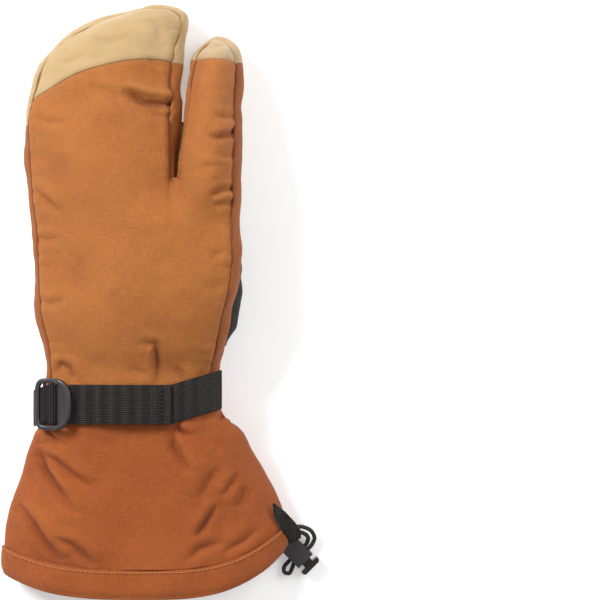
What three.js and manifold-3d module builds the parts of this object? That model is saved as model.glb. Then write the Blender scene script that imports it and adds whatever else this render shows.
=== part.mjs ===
// A padded lobster claw mitt for the left hand, lying palm down: one compartment for the index finger, one for the
// other three fingers, a thumb folded under the palm, and a long gauntlet with a draw cord in its hem.
// Millimetres, +Z up, fingers towards +Y, thumb side towards +X. Inside this file y is 0 at the wrist strap.
import * as THREE from "three";
import { mergeVertices } from "three/addons/utils/BufferGeometryUtils.js";
import Module from "manifold-3d";

const wasm = await Module();
wasm.setup();

// Hand and compartments
const palmLength = 130.5; // wrist to the bottom of the slit
const fingersLength = 105.6; // slit to the tip of the three-finger compartment
const indexLength = 86.4; // slit to the tip of the index compartment
const palmWidth = 130;
const pinkyLift = 22; // middle height of the little-finger side over the floor
const thumbSideLift = 47; // middle height of the index side, which lies on the thumb
const tipLift = 13; // middle height of the fingertips, which curl down to the floor
const sideHeight = 18; // height of the side strips between their seams
const crownHeight = 12; // rise of the back over its seams
const bellyDepth = 9; // drop of the palm under its seams
const padWall = 5; // shell, insulation and lining together
const grooveLength = 30; // how far the slit runs on as a groove

// Thumb
const thumbStart = 31; // from the wrist
const thumbLength = 134;
const thumbWidth = 56;
const thumbDepth = 20;
const thumbMiddle = 30; // its middle line's place across the hand
const thumbWall = 4;
const thumbSeamHeight = 14; // of the black panel's seam at the middle of the thumb
const thumbSeamTilt = 18; // how far the seam rises from there to the outer side

// Gauntlet
const cuffLength = 118;
const hemWidth = 170;
const hemMiddle = 5.5;
const cuffHeight = 40;
const cuffEdgeHeight = 12; // height of the side folds over the floor
const cuffWall = 2.5;
const hemRiseLeft = 13; // how far the hem's ends lie up from its middle
const hemRiseRight = 26;
const hemBand = 17;
const hemWall = 3;

// Strap, buckle and clip
const webbing = 1.5; // thickness
const strapWidth = 23.4;
const strapMiddle = -3.3; // of the strap, from the wrist line
const strapEnd = 50; // where its lower layer is sewn in
const strapTail = 22.5; // where its upper layer ends
const strapRise = 8; // how far its sewn end turns towards the fingers
const buckleInset = 8.3; // from the wrist's outer fold to the buckle's middle
const buckleLength = 24;
const buckleWidth = 31;
const railWidth = 3.2;
const barWidth = 2;
const frameThickness = 1.9;
const clipLength = 14;
const clipWidth = 12;
const clipThickness = 3;

// Draw cord and its lock
const cordDiameter = 2.5;
const lockFromHem = new THREE.Vector3(8, 22.5, 4.6); // its cord hole, from the hem's right end on the floor
const lockTurn = -Math.PI / 4; // direction of the plunger in plan
const lockLength = 14.6;
const lockWidth = 12;
const lockThickness = 8.4;
const plungerWidth = 6;
const plungerThickness = 5;
const buttonWidth = 13;
const buttonThickness = 3;
const pressTravel = 2.5;

const gap = 0.3; // clearance between pieces

const ORANGE = "#c37e47";
const TAN = "#d2ad71";
const BLACK = "#2b2725";

// The hand between wrist and slit. along: share of palmLength. left, right: share of palmWidth from the middle line.
// pinky, thumb: share of the two lifts. side, crown, belly: share of sideHeight, crownHeight and bellyDepth.
const HAND = [
  { along: 0, left: -0.41, right: 0.396, pinky: 1.14, thumb: 0.6, side: 0.89, crown: 0.75, belly: 0.8 },
  { along: 0.135, left: -0.405, right: 0.393, pinky: 1.14, thumb: 0.6, side: 0.89, crown: 0.75, belly: 0.8 },
  { along: 0.24, left: -0.415, right: 0.42, pinky: 1.08, thumb: 0.76, side: 0.95, crown: 0.9, belly: 0.9 },
  { along: 0.38, left: -0.452, right: 0.448, pinky: 1.02, thumb: 0.9, side: 1, crown: 1, belly: 1 },
  { along: 0.52, left: -0.4615, right: 0.4846, pinky: 1, thumb: 0.97, side: 1, crown: 1, belly: 1 },
  { along: 0.66, left: -0.466, right: 0.496, pinky: 0.98, thumb: 0.99, side: 1, crown: 1, belly: 1 },
  { along: 0.8, left: -0.475, right: 0.487, pinky: 0.97, thumb: 0.97, side: 1, crown: 1, belly: 0.95 },
  { along: 0.93, left: -0.494, right: 0.494, pinky: 0.96, thumb: 0.95, side: 1, crown: 1, belly: 0.85 },
  { along: 1, left: -0.498, right: 0.494, pinky: 0.95, thumb: 0.94, side: 1, crown: 1, belly: 0.8 },
];
const HAND_ROWS = [0, 0.135, 0.196, 0.3, 0.42, 0.54, 0.66, 0.78, 0.89];

// Outlines seen from above, from the slit round the tip. across: share of palmWidth. along: share of the length.
const FINGERS_OUTLINE = [
  { across: -0.498, along: 0 },
  { across: -0.508, along: 0.17 },
  { across: -0.512, along: 0.34 },
  { across: -0.475, along: 0.51 },
  { across: -0.429, along: 0.68 },
  { across: -0.309, along: 0.83 },
  { across: -0.134, along: 0.932 },
  { across: 0.069, along: 1 },
  { across: 0.217, along: 0.966 },
  { across: 0.245, along: 0.88 },
  { across: 0.235, along: 0.777 },
  { across: 0.226, along: 0.68 },
  { across: 0.215, along: 0.51 },
  { across: 0.225, along: 0.43 },
  { across: 0.215, along: 0.3 },
  { across: 0.196, along: 0.085 },
  { across: 0.189, along: 0 },
];
const INDEX_OUTLINE = [
  { across: 0.1965, along: 0 },
  { across: 0.2055, along: 0.104 },
  { across: 0.225, along: 0.37 },
  { across: 0.238, along: 0.54 },
  { across: 0.24, along: 0.625 },
  { across: 0.249, along: 0.73 },
  { across: 0.277, along: 0.889 },
  { across: 0.328, along: 0.972 },
  { across: 0.383, along: 1 },
  { across: 0.443, along: 0.972 },
  { across: 0.485, along: 0.889 },
  { across: 0.503, along: 0.73 },
  { across: 0.499, along: 0.52 },
  { across: 0.503, along: 0.417 },
  { across: 0.499, along: 0.208 },
  { across: 0.494, along: 0 },
];

// The thumb, from its base to its tip. along: share of thumbLength. left, right: share of thumbWidth from its middle.
// under, over: share of thumbDepth; an over of 0 is the open base, which runs up into the palm.
const THUMB = [
  { along: 0, left: -0.36, right: 0.44, under: 0.75, over: 0 },
  { along: 0.1, left: -0.6, right: 0.57, under: 0.25, over: 0 },
  { along: 0.22, left: -0.71, right: 0.61, under: 0.04, over: 0 },
  { along: 0.33, left: -0.62, right: 0.62, under: 0, over: 0 },
  { along: 0.4, left: -0.52, right: 0.57, under: 0, over: 1.05 },
  { along: 0.47, left: -0.49, right: 0.53, under: 0, over: 1 },
  { along: 0.57, left: -0.475, right: 0.465, under: 0, over: 1 },
  { along: 0.68, left: -0.46, right: 0.4, under: 0, over: 0.98 },
  { along: 0.8, left: -0.435, right: 0.32, under: 0, over: 0.95 },
  { along: 0.9, left: -0.37, right: 0.235, under: 0, over: 0.9 },
  { along: 0.97, left: -0.27, right: 0.14, under: 0.1, over: 0.8 },
  { along: 1, left: -0.16, right: 0.06, under: 0.25, over: 0.65 },
];

// The gauntlet from wrist to hem. along: share of cuffLength. left, right: share of the flare on each side.
// settle: how far the section has turned from the wrist's to the hem's. rise: share of the hem's curve.
const CUFF = [
  { along: 0, left: 0, right: 0, settle: 0, rise: 0 },
  { along: 0.06, left: 0.01, right: 0.01, settle: 0.01, rise: 0 },
  { along: 0.12, left: 0.06, right: 0.12, settle: 0.06, rise: 0.02 },
  { along: 0.2, left: 0.28, right: 0.35, settle: 0.25, rise: 0.15 },
  { along: 0.32, left: 0.46, right: 0.47, settle: 0.5, rise: 0.3 },
  { along: 0.46, left: 0.62, right: 0.64, settle: 0.78, rise: 0.5 },
  { along: 0.63, left: 0.85, right: 0.83, settle: 0.95, rise: 0.75 },
  { along: 0.75, left: 0.96, right: 0.94, settle: 1, rise: 0.9 },
  { along: 0.856, left: 1, right: 1, settle: 1, rise: 1 },
];
const HEM = [
  { along: 0, left: 1, right: 1, settle: 1 },
  { along: 0.5, left: 1.015, right: 1.01, settle: 1 },
  { along: 1, left: 1, right: 0.985, settle: 1 },
];

const leftInset = 3.2; // the seams lie this far inside the outline, on each side strip
const slitInset = 6.5;
const indexInset = 3;
const rightInset = 4.8;
const slitSeam = 2; // the same at the bottom of the slit

const ACROSS_FINGERS = 12; // grid columns on each panel
const ACROSS_INDEX = 6;
const ROUND = 4;
const CAP_ROW = 6; // grid rows from the slit to the cap's seam, and to the tip
const TIP_ROW = 12;
const TAN_ROW = 4; // where the little-finger side strip turns from cloth to leather

const { lerp: mix, clamp } = THREE.MathUtils;
const vec = (x, y, z) => new THREE.Vector3(x, y, z);

/** A column of a table at a share along it, on straight lines between its rows. */
function read(table, name, along) {
  let k = 0;
  while (k < table.length - 2 && along > table[k + 1].along) k++;
  const t = clamp((along - table[k].along) / (table[k + 1].along - table[k].along), 0, 1);
  return mix(table[k][name], table[k + 1][name], t);
}

/** Rounded rise between two edges: 0 at s = 0 and 1, 1 in the middle. */
const pillow = (s) => 1 - Math.abs(2 * s - 1) ** 2.6;

/** Place of column j of n, closer together near both edges. */
const spaced = (j, n) => mix(j / n, 0.5 - 0.5 * Math.cos((Math.PI * j) / n), 0.5);

/** Middle height of the hand at a point, and of a compartment of the given length beyond the slit. */
function midHeight(x, y, length = fingersLength) {
  const along = Math.min(y / palmLength, 1);
  const left = read(HAND, "left", along) * palmWidth;
  const right = read(HAND, "right", along) * palmWidth;
  const low = read(HAND, "pinky", along) * pinkyLift;
  const high = read(HAND, "thumb", along) * thumbSideLift;
  const base = mix(low, high, clamp((x - left) / (right - left), 0, 1));
  const curl = Math.max(y / palmLength > 1 ? (y - palmLength) / length : 0, 0) ** 1.9;
  return mix(base, tipLift, Math.min(curl, 1));
}

/** A point of the outline with its seams: p, the outward direction n, the seams' inset and half the strip's height. */
function station(x, y, nx, ny, inset, half, length) {
  const mid = midHeight(x - nx * inset, y, length);
  const at = (q) => vec(x - nx * inset * q * q, y - ny * inset * q * q, mid + half * q);
  return { at, upper: at(1), lower: at(-1) };
}

/** Both side stations of a row of the hand below the slit. */
function handStations(along) {
  const y = along * palmLength;
  const half = (read(HAND, "side", along) * sideHeight) / 2;
  return {
    left: station(read(HAND, "left", along) * palmWidth, y, -1, 0, leftInset, half),
    right: station(read(HAND, "right", along) * palmWidth, y, 1, 0, rightInset, half),
  };
}

/** Stations up both sides of a compartment, in pairs from the slit to the tip. */
function compartmentStations(outline, length, capLeft, capRight, insets) {
  const points = outline.map((o) => new THREE.Vector2(o.across * palmWidth, palmLength + o.along * length));
  const curve = new THREE.SplineCurve(points);
  curve.arcLengthDivisions = 400;
  let apex = 0.5;
  for (let u = 0.3; u < 0.8; u += 0.002) if (curve.getPointAt(u).y > curve.getPointAt(apex).y) apex = u;
  const total = curve.getLength();
  const rows = [];
  for (let r = 0; r <= TIP_ROW; r++) {
    const past = (r - CAP_ROW) / (TIP_ROW - CAP_ROW);
    const share = (cap) => (r <= CAP_ROW ? (cap * r) / CAP_ROW : mix(cap, 0.965, past));
    const half = (mix(1, 0.85, r / TIP_ROW) * sideHeight) / 2;
    const side = (u, inset, fromSlit) => {
      const p = curve.getPointAt(u);
      const t = curve.getTangentAt(u);
      const narrowed = mix(inset, Math.min(inset, leftInset), clamp(past * 2, 0, 1));
      const settled = fromSlit === null ? inset : mix(slitSeam, narrowed, Math.min(fromSlit / 34, 1));
      return station(p.x, p.y, -t.y, t.x, settled, half, length);
    };
    const uLeft = apex * share(capLeft);
    const uRight = 1 - (1 - apex) * share(capRight);
    rows.push({
      left: side(uLeft, insets.left, insets.slit === "left" ? uLeft * total : null),
      right: side(uRight, insets.right, insets.slit === "right" ? (1 - uRight) * total : null),
      fade: Math.sqrt(1 - (1 - clamp((TIP_ROW - r) / (TIP_ROW * 0.45), 0, 1)) ** 2),
    });
  }
  return rows;
}

const hand = HAND_ROWS.map(handStations);
const fingers = compartmentStations(FINGERS_OUTLINE, fingersLength, 0.32, 0.57, {
  left: leftInset,
  right: slitInset,
  slit: "right",
});
const index = compartmentStations(INDEX_OUTLINE, indexLength, 0.76, 0.74, {
  left: indexInset,
  right: rightInset,
  slit: "left",
});

/** A compartment's row over the back (up = 1) or under the palm (up = -1). */
function compartmentRow(row, r, columns, up, bow) {
  const [a, b] = up > 0 ? [row.left.upper, row.right.upper] : [row.left.lower, row.right.lower];
  const swell = up > 0 ? crownHeight : -bellyDepth * mix(0.55, 0.8, r / TIP_ROW);
  const bend = bow * Math.min(r / CAP_ROW, (1 - clamp((r - CAP_ROW) / CAP_ROW, 0, 1)) ** 2);
  return Array.from({ length: columns + 1 }, (_, j) => {
    const s = spaced(j, columns);
    const p = a.clone().lerp(b, s);
    p.y += bend * 4 * s * (1 - s);
    p.z = Math.max(p.z + swell * row.fade * pillow(s), 0);
    return p;
  });
}

/** A row of the hand over the back or under the palm: one wide rise that parts into two towards the slit. */
function handRow(pair, along, up) {
  const [a, b] = up > 0 ? [pair.left.upper, pair.right.upper] : [pair.left.lower, pair.right.lower];
  const part = THREE.MathUtils.smoothstep(along * palmLength, palmLength - grooveLength, palmLength);
  const half = (read(HAND, "side", along) * sideHeight) / 2;
  const strip = [fingers[0].right.upper.x, index[0].left.upper.x];
  const crown = read(HAND, "crown", along) * crownHeight;
  const belly = read(HAND, "belly", along) * bellyDepth;
  const whole = (s) => {
    if (up > 0) return crown * pillow(s);
    return s < 0.45
      ? -belly * Math.sin((Math.PI * s) / 0.45) ** 2
      : 0.25 * belly * Math.sin((Math.PI * (s - 0.45)) / 0.55) ** 2;
  };
  const block = (from, to, columns) =>
    Array.from({ length: columns + 1 }, (_, j) => {
      const s = spaced(j, columns);
      const x = mix(from, to, s);
      const over = (x - a.x) / (b.x - a.x);
      const one = mix(a.z, b.z, over) + whole(over);
      const seam = midHeight(x, along * palmLength) + up * half;
      const two = seam + (up > 0 ? crown : -bellyDepth * 0.55) * pillow(s);
      return vec(x, a.y, Math.max(mix(one, two, part), 0));
    });
  return [...block(a.x, strip[0], ACROSS_FINGERS), ...block(strip[1], b.x, ACROSS_INDEX)];
}

/** The grid over the back or under the palm: rows of the hand, then of both compartments side by side. */
const sheet = (up) => [
  ...hand.map((pair, i) => handRow(pair, HAND_ROWS[i], up)),
  ...fingers.map((row, r) => [
    ...compartmentRow(row, r, ACROSS_FINGERS, up, 9),
    ...compartmentRow(index[r], r, ACROSS_INDEX, up, 1),
  ]),
];
const backSheet = sheet(1);
const palmSheet = sheet(-1);

/** A side strip's grid: one row for each station, its columns from the upper seam to the lower. */
const strip = (stations) =>
  stations.map((s) => Array.from({ length: ROUND + 1 }, (_, k) => s.at(1 - (2 * k) / ROUND)));
const outerStations = [
  ...hand.map((p) => p.left),
  ...fingers.map((r) => r.left),
  ...fingers.map((r) => r.right).reverse(),
];
const indexStations = [
  ...index.map((r) => r.left),
  ...index.map((r) => r.right).reverse(),
  ...hand.map((p) => p.right).reverse(),
];
const outerStrip = strip(outerStations);
const indexStrip = strip(indexStations);

const SLIT_ROW = HAND_ROWS.length; // the grids' row at the bottom of the slit
const SLIT_COLUMN = ACROSS_FINGERS; // and the column that the slit opens

const key = (p) => p.toArray().map((v) => Math.round(v * 50)).join();

/** Unit normals of all the outer grids together, facing out, by place. */
function sharedNormals(grids) {
  const sums = new Map();
  for (const { grid, turn, present } of grids)
    for (let i = 0; i < grid.length - 1; i++)
      for (let j = 0; j < grid[i].length - 1; j++) {
        if (present && !present(i, j)) continue;
        const corners = [grid[i][j], grid[i][j + 1], grid[i + 1][j + 1], grid[i + 1][j]];
        const n = corners[2].clone().sub(corners[0]).cross(corners[3].clone().sub(corners[1]));
        n.normalize().multiplyScalar(turn);
        for (const c of corners) sums.set(key(c), (sums.get(key(c)) ?? vec(0, 0, 0)).add(n));
      }
  return (p) => sums.get(key(p)).clone().normalize();
}
const overSlit = (i, j) => j !== SLIT_COLUMN || i < SLIT_ROW;
const normalAt = sharedNormals([
  { grid: backSheet, turn: 1, present: overSlit },
  { grid: palmSheet, turn: -1, present: overSlit },
  { grid: outerStrip, turn: -1 },
  { grid: indexStrip, turn: -1 },
]);

/** The grid's normals; along a compartment's last row they run evenly from side to side, as the strip's do. */
function gridNormals(grid) {
  const normals = grid.map((row) => row.map(normalAt));
  if (grid !== backSheet && grid !== palmSheet) return normals;
  const last = normals[grid.length - 1];
  for (const [from, to] of [[0, SLIT_COLUMN], [SLIT_COLUMN + 1, last.length - 1]])
    for (let j = from + 1; j < to; j++)
      last[j] = last[from].clone().lerp(last[to], (j - from) / (to - from)).normalize();
  return normals;
}

/** Closed body between two grids of like size, over the cells that present names, drawn in at its edges. */
function plate(outer, inner, present = () => true, drawn = gap * 0.75) {
  const rows = outer.length;
  const columns = outer[0].length;
  const has = (i, j) => i >= 0 && j >= 0 && i < rows - 1 && j < columns - 1 && present(i, j);
  const positions = [];
  const place = new Map();
  const vertex = (i, j, side) => {
    const name = `${i},${j},${side}`;
    if (place.has(name)) return place.get(name);
    const grid = side ? inner : outer;
    const p = grid[i][j].clone();
    const cells = [[i - 1, j - 1], [i - 1, j], [i, j - 1], [i, j]].filter(([a, b]) => has(a, b));
    if (cells.length < 4 && drawn) {
      const centre = vec(0, 0, 0);
      for (const [a, b] of cells)
        for (const [c, d] of [[a, b], [a + 1, b], [a, b + 1], [a + 1, b + 1]])
          centre.addScaledVector(outer[c][d], 0.25 / cells.length);
      p.add(centre.sub(outer[i][j]).setLength(drawn));
    }
    positions.push(p.x, p.y, p.z);
    place.set(name, positions.length / 3 - 1);
    return positions.length / 3 - 1;
  };
  const faces = [];
  const quad = (a, b, c, d) => faces.push(a, b, c, a, c, d);
  for (let i = 0; i < rows - 1; i++)
    for (let j = 0; j < columns - 1; j++) {
      if (!has(i, j)) continue;
      const ring = [[i, j], [i, j + 1], [i + 1, j + 1], [i + 1, j]];
      quad(...ring.map(([a, b]) => vertex(a, b, 0)));
      quad(...ring.map(([a, b]) => vertex(a, b, 1)).reverse());
      const beyond = [[i - 1, j], [i, j + 1], [i + 1, j], [i, j - 1]];
      beyond.forEach(([a, b], k) => {
        if (has(a, b)) return;
        const [p, q] = [ring[k], ring[(k + 1) % 4]];
        quad(vertex(...q, 0), vertex(...p, 0), vertex(...p, 1), vertex(...q, 1));
      });
    }
  return outwards(positions, faces);
}

/** An indexed geometry, with its faces turned if they point in. */
function outwards(positions, faces) {
  let volume = 0;
  const p = (k) => vec(...positions.slice(3 * k, 3 * k + 3));
  for (let f = 0; f < faces.length; f += 3)
    volume += p(faces[f]).dot(p(faces[f + 1]).cross(p(faces[f + 2])));
  if (volume < 0)
    for (let f = 0; f < faces.length; f += 3) [faces[f], faces[f + 1]] = [faces[f + 1], faces[f]];
  const geometry = new THREE.BufferGeometry();
  geometry.setAttribute("position", new THREE.Float32BufferAttribute(positions, 3));
  geometry.setIndex(faces);
  return geometry;
}

/** The grid moved along its normals, outwards by rise. */
const moved = (grid, normals, rise) =>
  grid.map((row, i) => row.map((p, j) => p.clone().addScaledVector(normals[i][j], rise)));

/** A padded panel: the cells of a grid that present names, with the hand's wall. */
function panel(grid, present, drawn = gap * 0.75) {
  const normals = gridNormals(grid);
  return plate(grid, moved(grid, normals, -padWall), present, drawn);
}

/** manifold-3d solid of a closed geometry, and back. */
function solid(geometry) {
  const bare = geometry.clone().deleteAttribute("normal").deleteAttribute("uv");
  const merged = mergeVertices(bare, 1e-4);
  return new wasm.Manifold(
    new wasm.Mesh({
      numProp: 3,
      vertProperties: merged.attributes.position.array,
      triVerts: new Uint32Array(merged.index.array),
    }),
  );
}
function geometryOf(manifold) {
  const mesh = manifold.getMesh();
  const geometry = new THREE.BufferGeometry();
  geometry.setAttribute("position", new THREE.BufferAttribute(mesh.vertProperties, 3));
  geometry.setIndex(new THREE.BufferAttribute(mesh.triVerts, 1));
  return geometry;
}

/** The largest body of a solid: a cut can leave slivers beside it. */
const largest = (manifold) => manifold.decompose().sort((a, b) => b.volume() - a.volume())[0];

/** A padded panel trimmed to a side strip's space, which is the strip grown by the gap. */
function trimmed(grid, present, stripGrid) {
  const normals = gridNormals(stripGrid);
  const [over, under] = [moved(stripGrid, normals, gap), moved(stripGrid, normals, -padWall - gap)];
  return largest(solid(panel(grid, present)).subtract(solid(plate(over, under, undefined, 0))));
}

/** Closed body of stacked rings with flat ends. */
function ringBody(rings) {
  const count = rings[0].length;
  const positions = rings.flat().flatMap((p) => p.toArray());
  const faces = [];
  for (let i = 0; i < rings.length - 1; i++)
    for (let j = 0; j < count; j++) {
      const k = (j + 1) % count;
      const [a, b, c, d] = [i * count + j, i * count + k, (i + 1) * count + k, (i + 1) * count + j];
      faces.push(a, b, c, a, c, d);
    }
  for (const [i, flip] of [[0, true], [rings.length - 1, false]]) {
    const middle = rings[i].reduce((sum, p) => sum.add(p), vec(0, 0, 0)).divideScalar(count);
    positions.push(...middle.toArray());
    const m = positions.length / 3 - 1;
    for (let j = 0; j < count; j++) {
      const [a, b] = [i * count + j, i * count + ((j + 1) % count)];
      faces.push(...(flip ? [b, a, m] : [a, b, m]));
    }
  }
  return outwards(positions, faces);
}

/** The hand's outside between wrist and slit as one body, swollen by the gap. */
function handOutside() {
  const grids = [backSheet, indexStrip, palmSheet, outerStrip];
  const swollen = grids.map((grid) => moved(grid, gridNormals(grid), gap * 1.5));
  const rings = [];
  for (let i = 0; i <= SLIT_ROW; i++) {
    const right = swollen[1][swollen[1].length - 1 - Math.min(i, SLIT_ROW)];
    rings.push([
      ...swollen[0][i],
      ...right.slice(1, -1),
      ...[...swollen[2][i]].reverse(),
      ...swollen[3][i].slice(1, -1).reverse(),
    ]);
  }
  return ringBody(rings);
}

/** Underside height of the palm's outer face at a point below the slit. */
function palmUnderside(x, y) {
  const i = clamp(HAND_ROWS.findLastIndex((a) => a * palmLength <= y), 0, HAND_ROWS.length - 1);
  const row = palmSheet[i];
  const j = clamp(row.findLastIndex((p) => p.x <= x), 0, row.length - 2);
  return mix(row[j].z, row[j + 1].z, clamp((x - row[j].x) / (row[j + 1].x - row[j].x), 0, 1));
}

const THUMB_SIDES = 20;

/** The thumb's outer face, or its hollow when wall is more than 0. */
function thumbBody(wall) {
  const rings = THUMB.map((row, i) => {
    const end = i === 0 ? 1 : i === THUMB.length - 1 ? -1 : 0;
    const y = thumbStart + row.along * thumbLength + end * wall;
    const [left, right] = [row.left * thumbWidth + wall, row.right * thumbWidth - wall];
    const middle = thumbMiddle + (left + right) / 2;
    const under = row.under * thumbDepth + wall;
    const open = palmUnderside(middle, y) + padWall + (wall ? 4 : 9);
    const over = row.over ? row.over * thumbDepth - wall : open;
    const taper = row.over ? 0 : 0.22;
    return Array.from({ length: THUMB_SIDES }, (_, k) => {
      const angle = (2 * Math.PI * k) / THUMB_SIDES;
      const [c, s] = [Math.cos(angle), Math.sin(angle)];
      const flat = Math.sign(s) * Math.abs(s) ** 0.72;
      const x = middle + ((right - left) / 2) * Math.sign(c) * Math.abs(c) ** 0.85 * (1 - taper * Math.max(s, 0));
      const side = mix(under, over, row.over ? 0.5 : 0.32);
      return vec(x, y, s > 0 ? mix(side, over, flat) : mix(side, under, -flat));
    });
  });
  return ringBody(rings);
}

const handOuter = solid(handOutside());
const thumbHollow = solid(thumbBody(thumbWall));
const thumbShell = solid(thumbBody(0)).subtract(thumbHollow).subtract(handOuter);

/** Prism under the thumb's seam: the black panel's share of the shell, grown by rise. */
function thumbPanelPrism(rise) {
  const [near, far] = [thumbMiddle - thumbWidth * 0.45 - rise, thumbMiddle + thumbWidth];
  const slope = (2 * thumbSeamTilt) / thumbWidth; // of the seam, seen from the tip
  const seam = (x) => thumbSeamHeight + (x < thumbMiddle ? 0.3 : slope) * (x - thumbMiddle) + rise;
  const below = -5;
  const shape = new THREE.Shape([
    new THREE.Vector2(near, below),
    new THREE.Vector2(far, below),
    new THREE.Vector2(far, seam(far)),
    new THREE.Vector2(thumbMiddle, seam(thumbMiddle)),
    new THREE.Vector2(near, seam(near)),
  ]);
  const behind = 20; // past the thumb's base
  const reach = thumbLength * 0.955 + behind + rise;
  const geometry = new THREE.ExtrudeGeometry(shape, { depth: reach, bevelEnabled: false });
  geometry.rotateX(Math.PI / 2).translate(0, thumbStart - behind + reach, 0);
  return solid(geometry);
}

const wristRing = [
  ...outerStrip[0].slice(0, ROUND / 2 + 1).reverse(),
  ...backSheet[0].slice(1),
  ...indexStrip[indexStrip.length - 1].slice(1, ROUND / 2 + 1),
];
const wristUnder = [
  ...outerStrip[0].slice(ROUND / 2),
  ...palmSheet[0].slice(1),
  ...indexStrip[indexStrip.length - 1].slice(ROUND / 2, ROUND).reverse(),
];

/** A row of the gauntlet's back (up = 1) or palm half (up = -1), from fold to fold. */
function cuffRow(row, up, y, rise) {
  const wrist = up > 0 ? wristRing : wristUnder;
  const from = wrist[0].x;
  const to = wrist[wrist.length - 1].x;
  return wrist.map((p) => {
    const s = (p.x - from) / (to - from);
    const far = hemMiddle + (s - 0.5) * hemWidth;
    const x = mix(p.x, far, mix(row.left, row.right, s));
    const bulge = (1 - Math.abs(2 * s - 1) ** 2.4) ** 0.65;
    const flatter = (1 - Math.abs(2 * s - 1) ** 9) ** 0.65;
    const z = up > 0
      ? cuffEdgeHeight + (cuffHeight - cuffEdgeHeight) * bulge
      : cuffEdgeHeight * (1 - 1.25 * flatter);
    const bend = Math.abs(2 * s - 1) ** 3.2 * (s < 0.5 ? hemRiseLeft : hemRiseRight);
    return vec(x, y + rise * bend, Math.max(mix(p.z, z, row.settle), 0));
  });
}
const cuffRows = (up) => CUFF.map((row) => cuffRow(row, up, -row.along * cuffLength, row.rise));
const hemRows = (up) =>
  HEM.map((row) => cuffRow(row, up, -(cuffLength - hemBand) - row.along * hemBand, 1));

/** The back and palm rows as one closed ring of grid columns, with its first column repeated at the end. */
function ringGrid(rows) {
  const [back, palm] = [rows(1), rows(-1)];
  return back.map((row, i) => [...row, ...palm[i].slice(0, -1).reverse()]);
}

/** Normals of a grid whose first and last columns meet. */
function ringNormals(grid) {
  const find = sharedNormals([{ grid, turn: 1 }]);
  const sign = find(grid[1][Math.floor(grid[0].length / 4)]).z < 0 ? -1 : 1;
  return grid.map((row) => row.map((p) => find(p).multiplyScalar(sign)));
}
const cuffGrid = ringGrid(cuffRows);
const cuffNormals = ringNormals(cuffGrid);
const cuffInner = moved(cuffGrid, cuffNormals, -cuffWall);
const hemGrid = ringGrid(hemRows);
const hemNormals = ringNormals(hemGrid);
const BACK_COLUMNS = wristRing.length - 1; // the ring's columns that belong to the back half

/** Closed ring body between two grids whose first and last columns meet. */
function band(outer, inner, inset) {
  const rings = [
    ...outer.map((row) => row.slice(0, -1)),
    ...[...inner].reverse().map((row) => row.slice(0, -1)),
  ].map((ring) => ring.map((p) => p.clone()));
  for (const i of [0, rings.length - 1]) for (const p of rings[i]) p.y -= inset;
  const count = rings[0].length;
  const positions = rings.flat().flatMap((p) => p.toArray());
  const faces = [];
  for (let i = 0; i < rings.length; i++)
    for (let j = 0; j < count; j++) {
      const [n, k] = [(i + 1) % rings.length, (j + 1) % count];
      const [a, b, c, d] = [i * count + j, i * count + k, n * count + k, n * count + j];
      faces.push(a, b, c, a, c, d);
    }
  return outwards(positions, faces);
}

/** Place on the wrist's outer face over x: the point and the normal in the XZ plane. */
function wristTop(x) {
  const j = clamp(wristRing.findLastIndex((p) => p.x <= x), 0, wristRing.length - 2);
  const [a, b] = [wristRing[j], wristRing[j + 1]];
  const t = (x - a.x) / (b.x - a.x);
  const n = (k) => {
    const [p, q] = [wristRing[Math.max(k - 1, 0)], wristRing[Math.min(k + 1, wristRing.length - 1)]];
    return vec(-(q.z - p.z), 0, q.x - p.x).normalize();
  };
  return { point: vec(x, 0, mix(a.z, b.z, t)), normal: n(j).lerp(n(j + 1), clamp(t, 0, 1)).normalize() };
}

/** Webbing along a path of [x, z] points: thickness across the path, width along y about middle(x). */
function ribbon(path, width, middle, thickness = webbing) {
  const side = (sign) =>
    path.map(([x, z], i) => {
      const [px, pz] = path[Math.max(i - 1, 0)];
      const [qx, qz] = path[Math.min(i + 1, path.length - 1)];
      const n = vec(-(qz - pz), 0, qx - px).setLength((sign * thickness) / 2);
      return [-1, 1].map((e) => vec(x + n.x, middle(x) + (e * width) / 2, z + n.z));
    });
  return plate(side(1), side(-1));
}

// The buckle lies on the shoulder of the wrist: a runs along it, h away from it.
const buckleMiddle = HAND[0].left * palmWidth + buckleInset;
const buckleSeat = wristTop(buckleMiddle);
const buckleTilt = Math.atan2(buckleSeat.normal.x, buckleSeat.normal.z);
const onBuckle = (a, h) => {
  const along = vec(Math.cos(buckleTilt), 0, -Math.sin(buckleTilt));
  const p = buckleSeat.point.clone().addScaledVector(along, a).addScaledVector(buckleSeat.normal, h);
  return [p.x, p.z];
};
const loadHeight = 2.2; // middle of the strap's lower layer over the seat
const barHeight = loadHeight + webbing / 2 + gap; // underside of the bars
const frameTop = barHeight + 2 * frameThickness;
const barAt = -1; // middle of the strap's bar
const tailHeight = loadHeight + webbing + gap;
const lipHeight = tailHeight + webbing / 2 + gap; // underside of the lip

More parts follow.
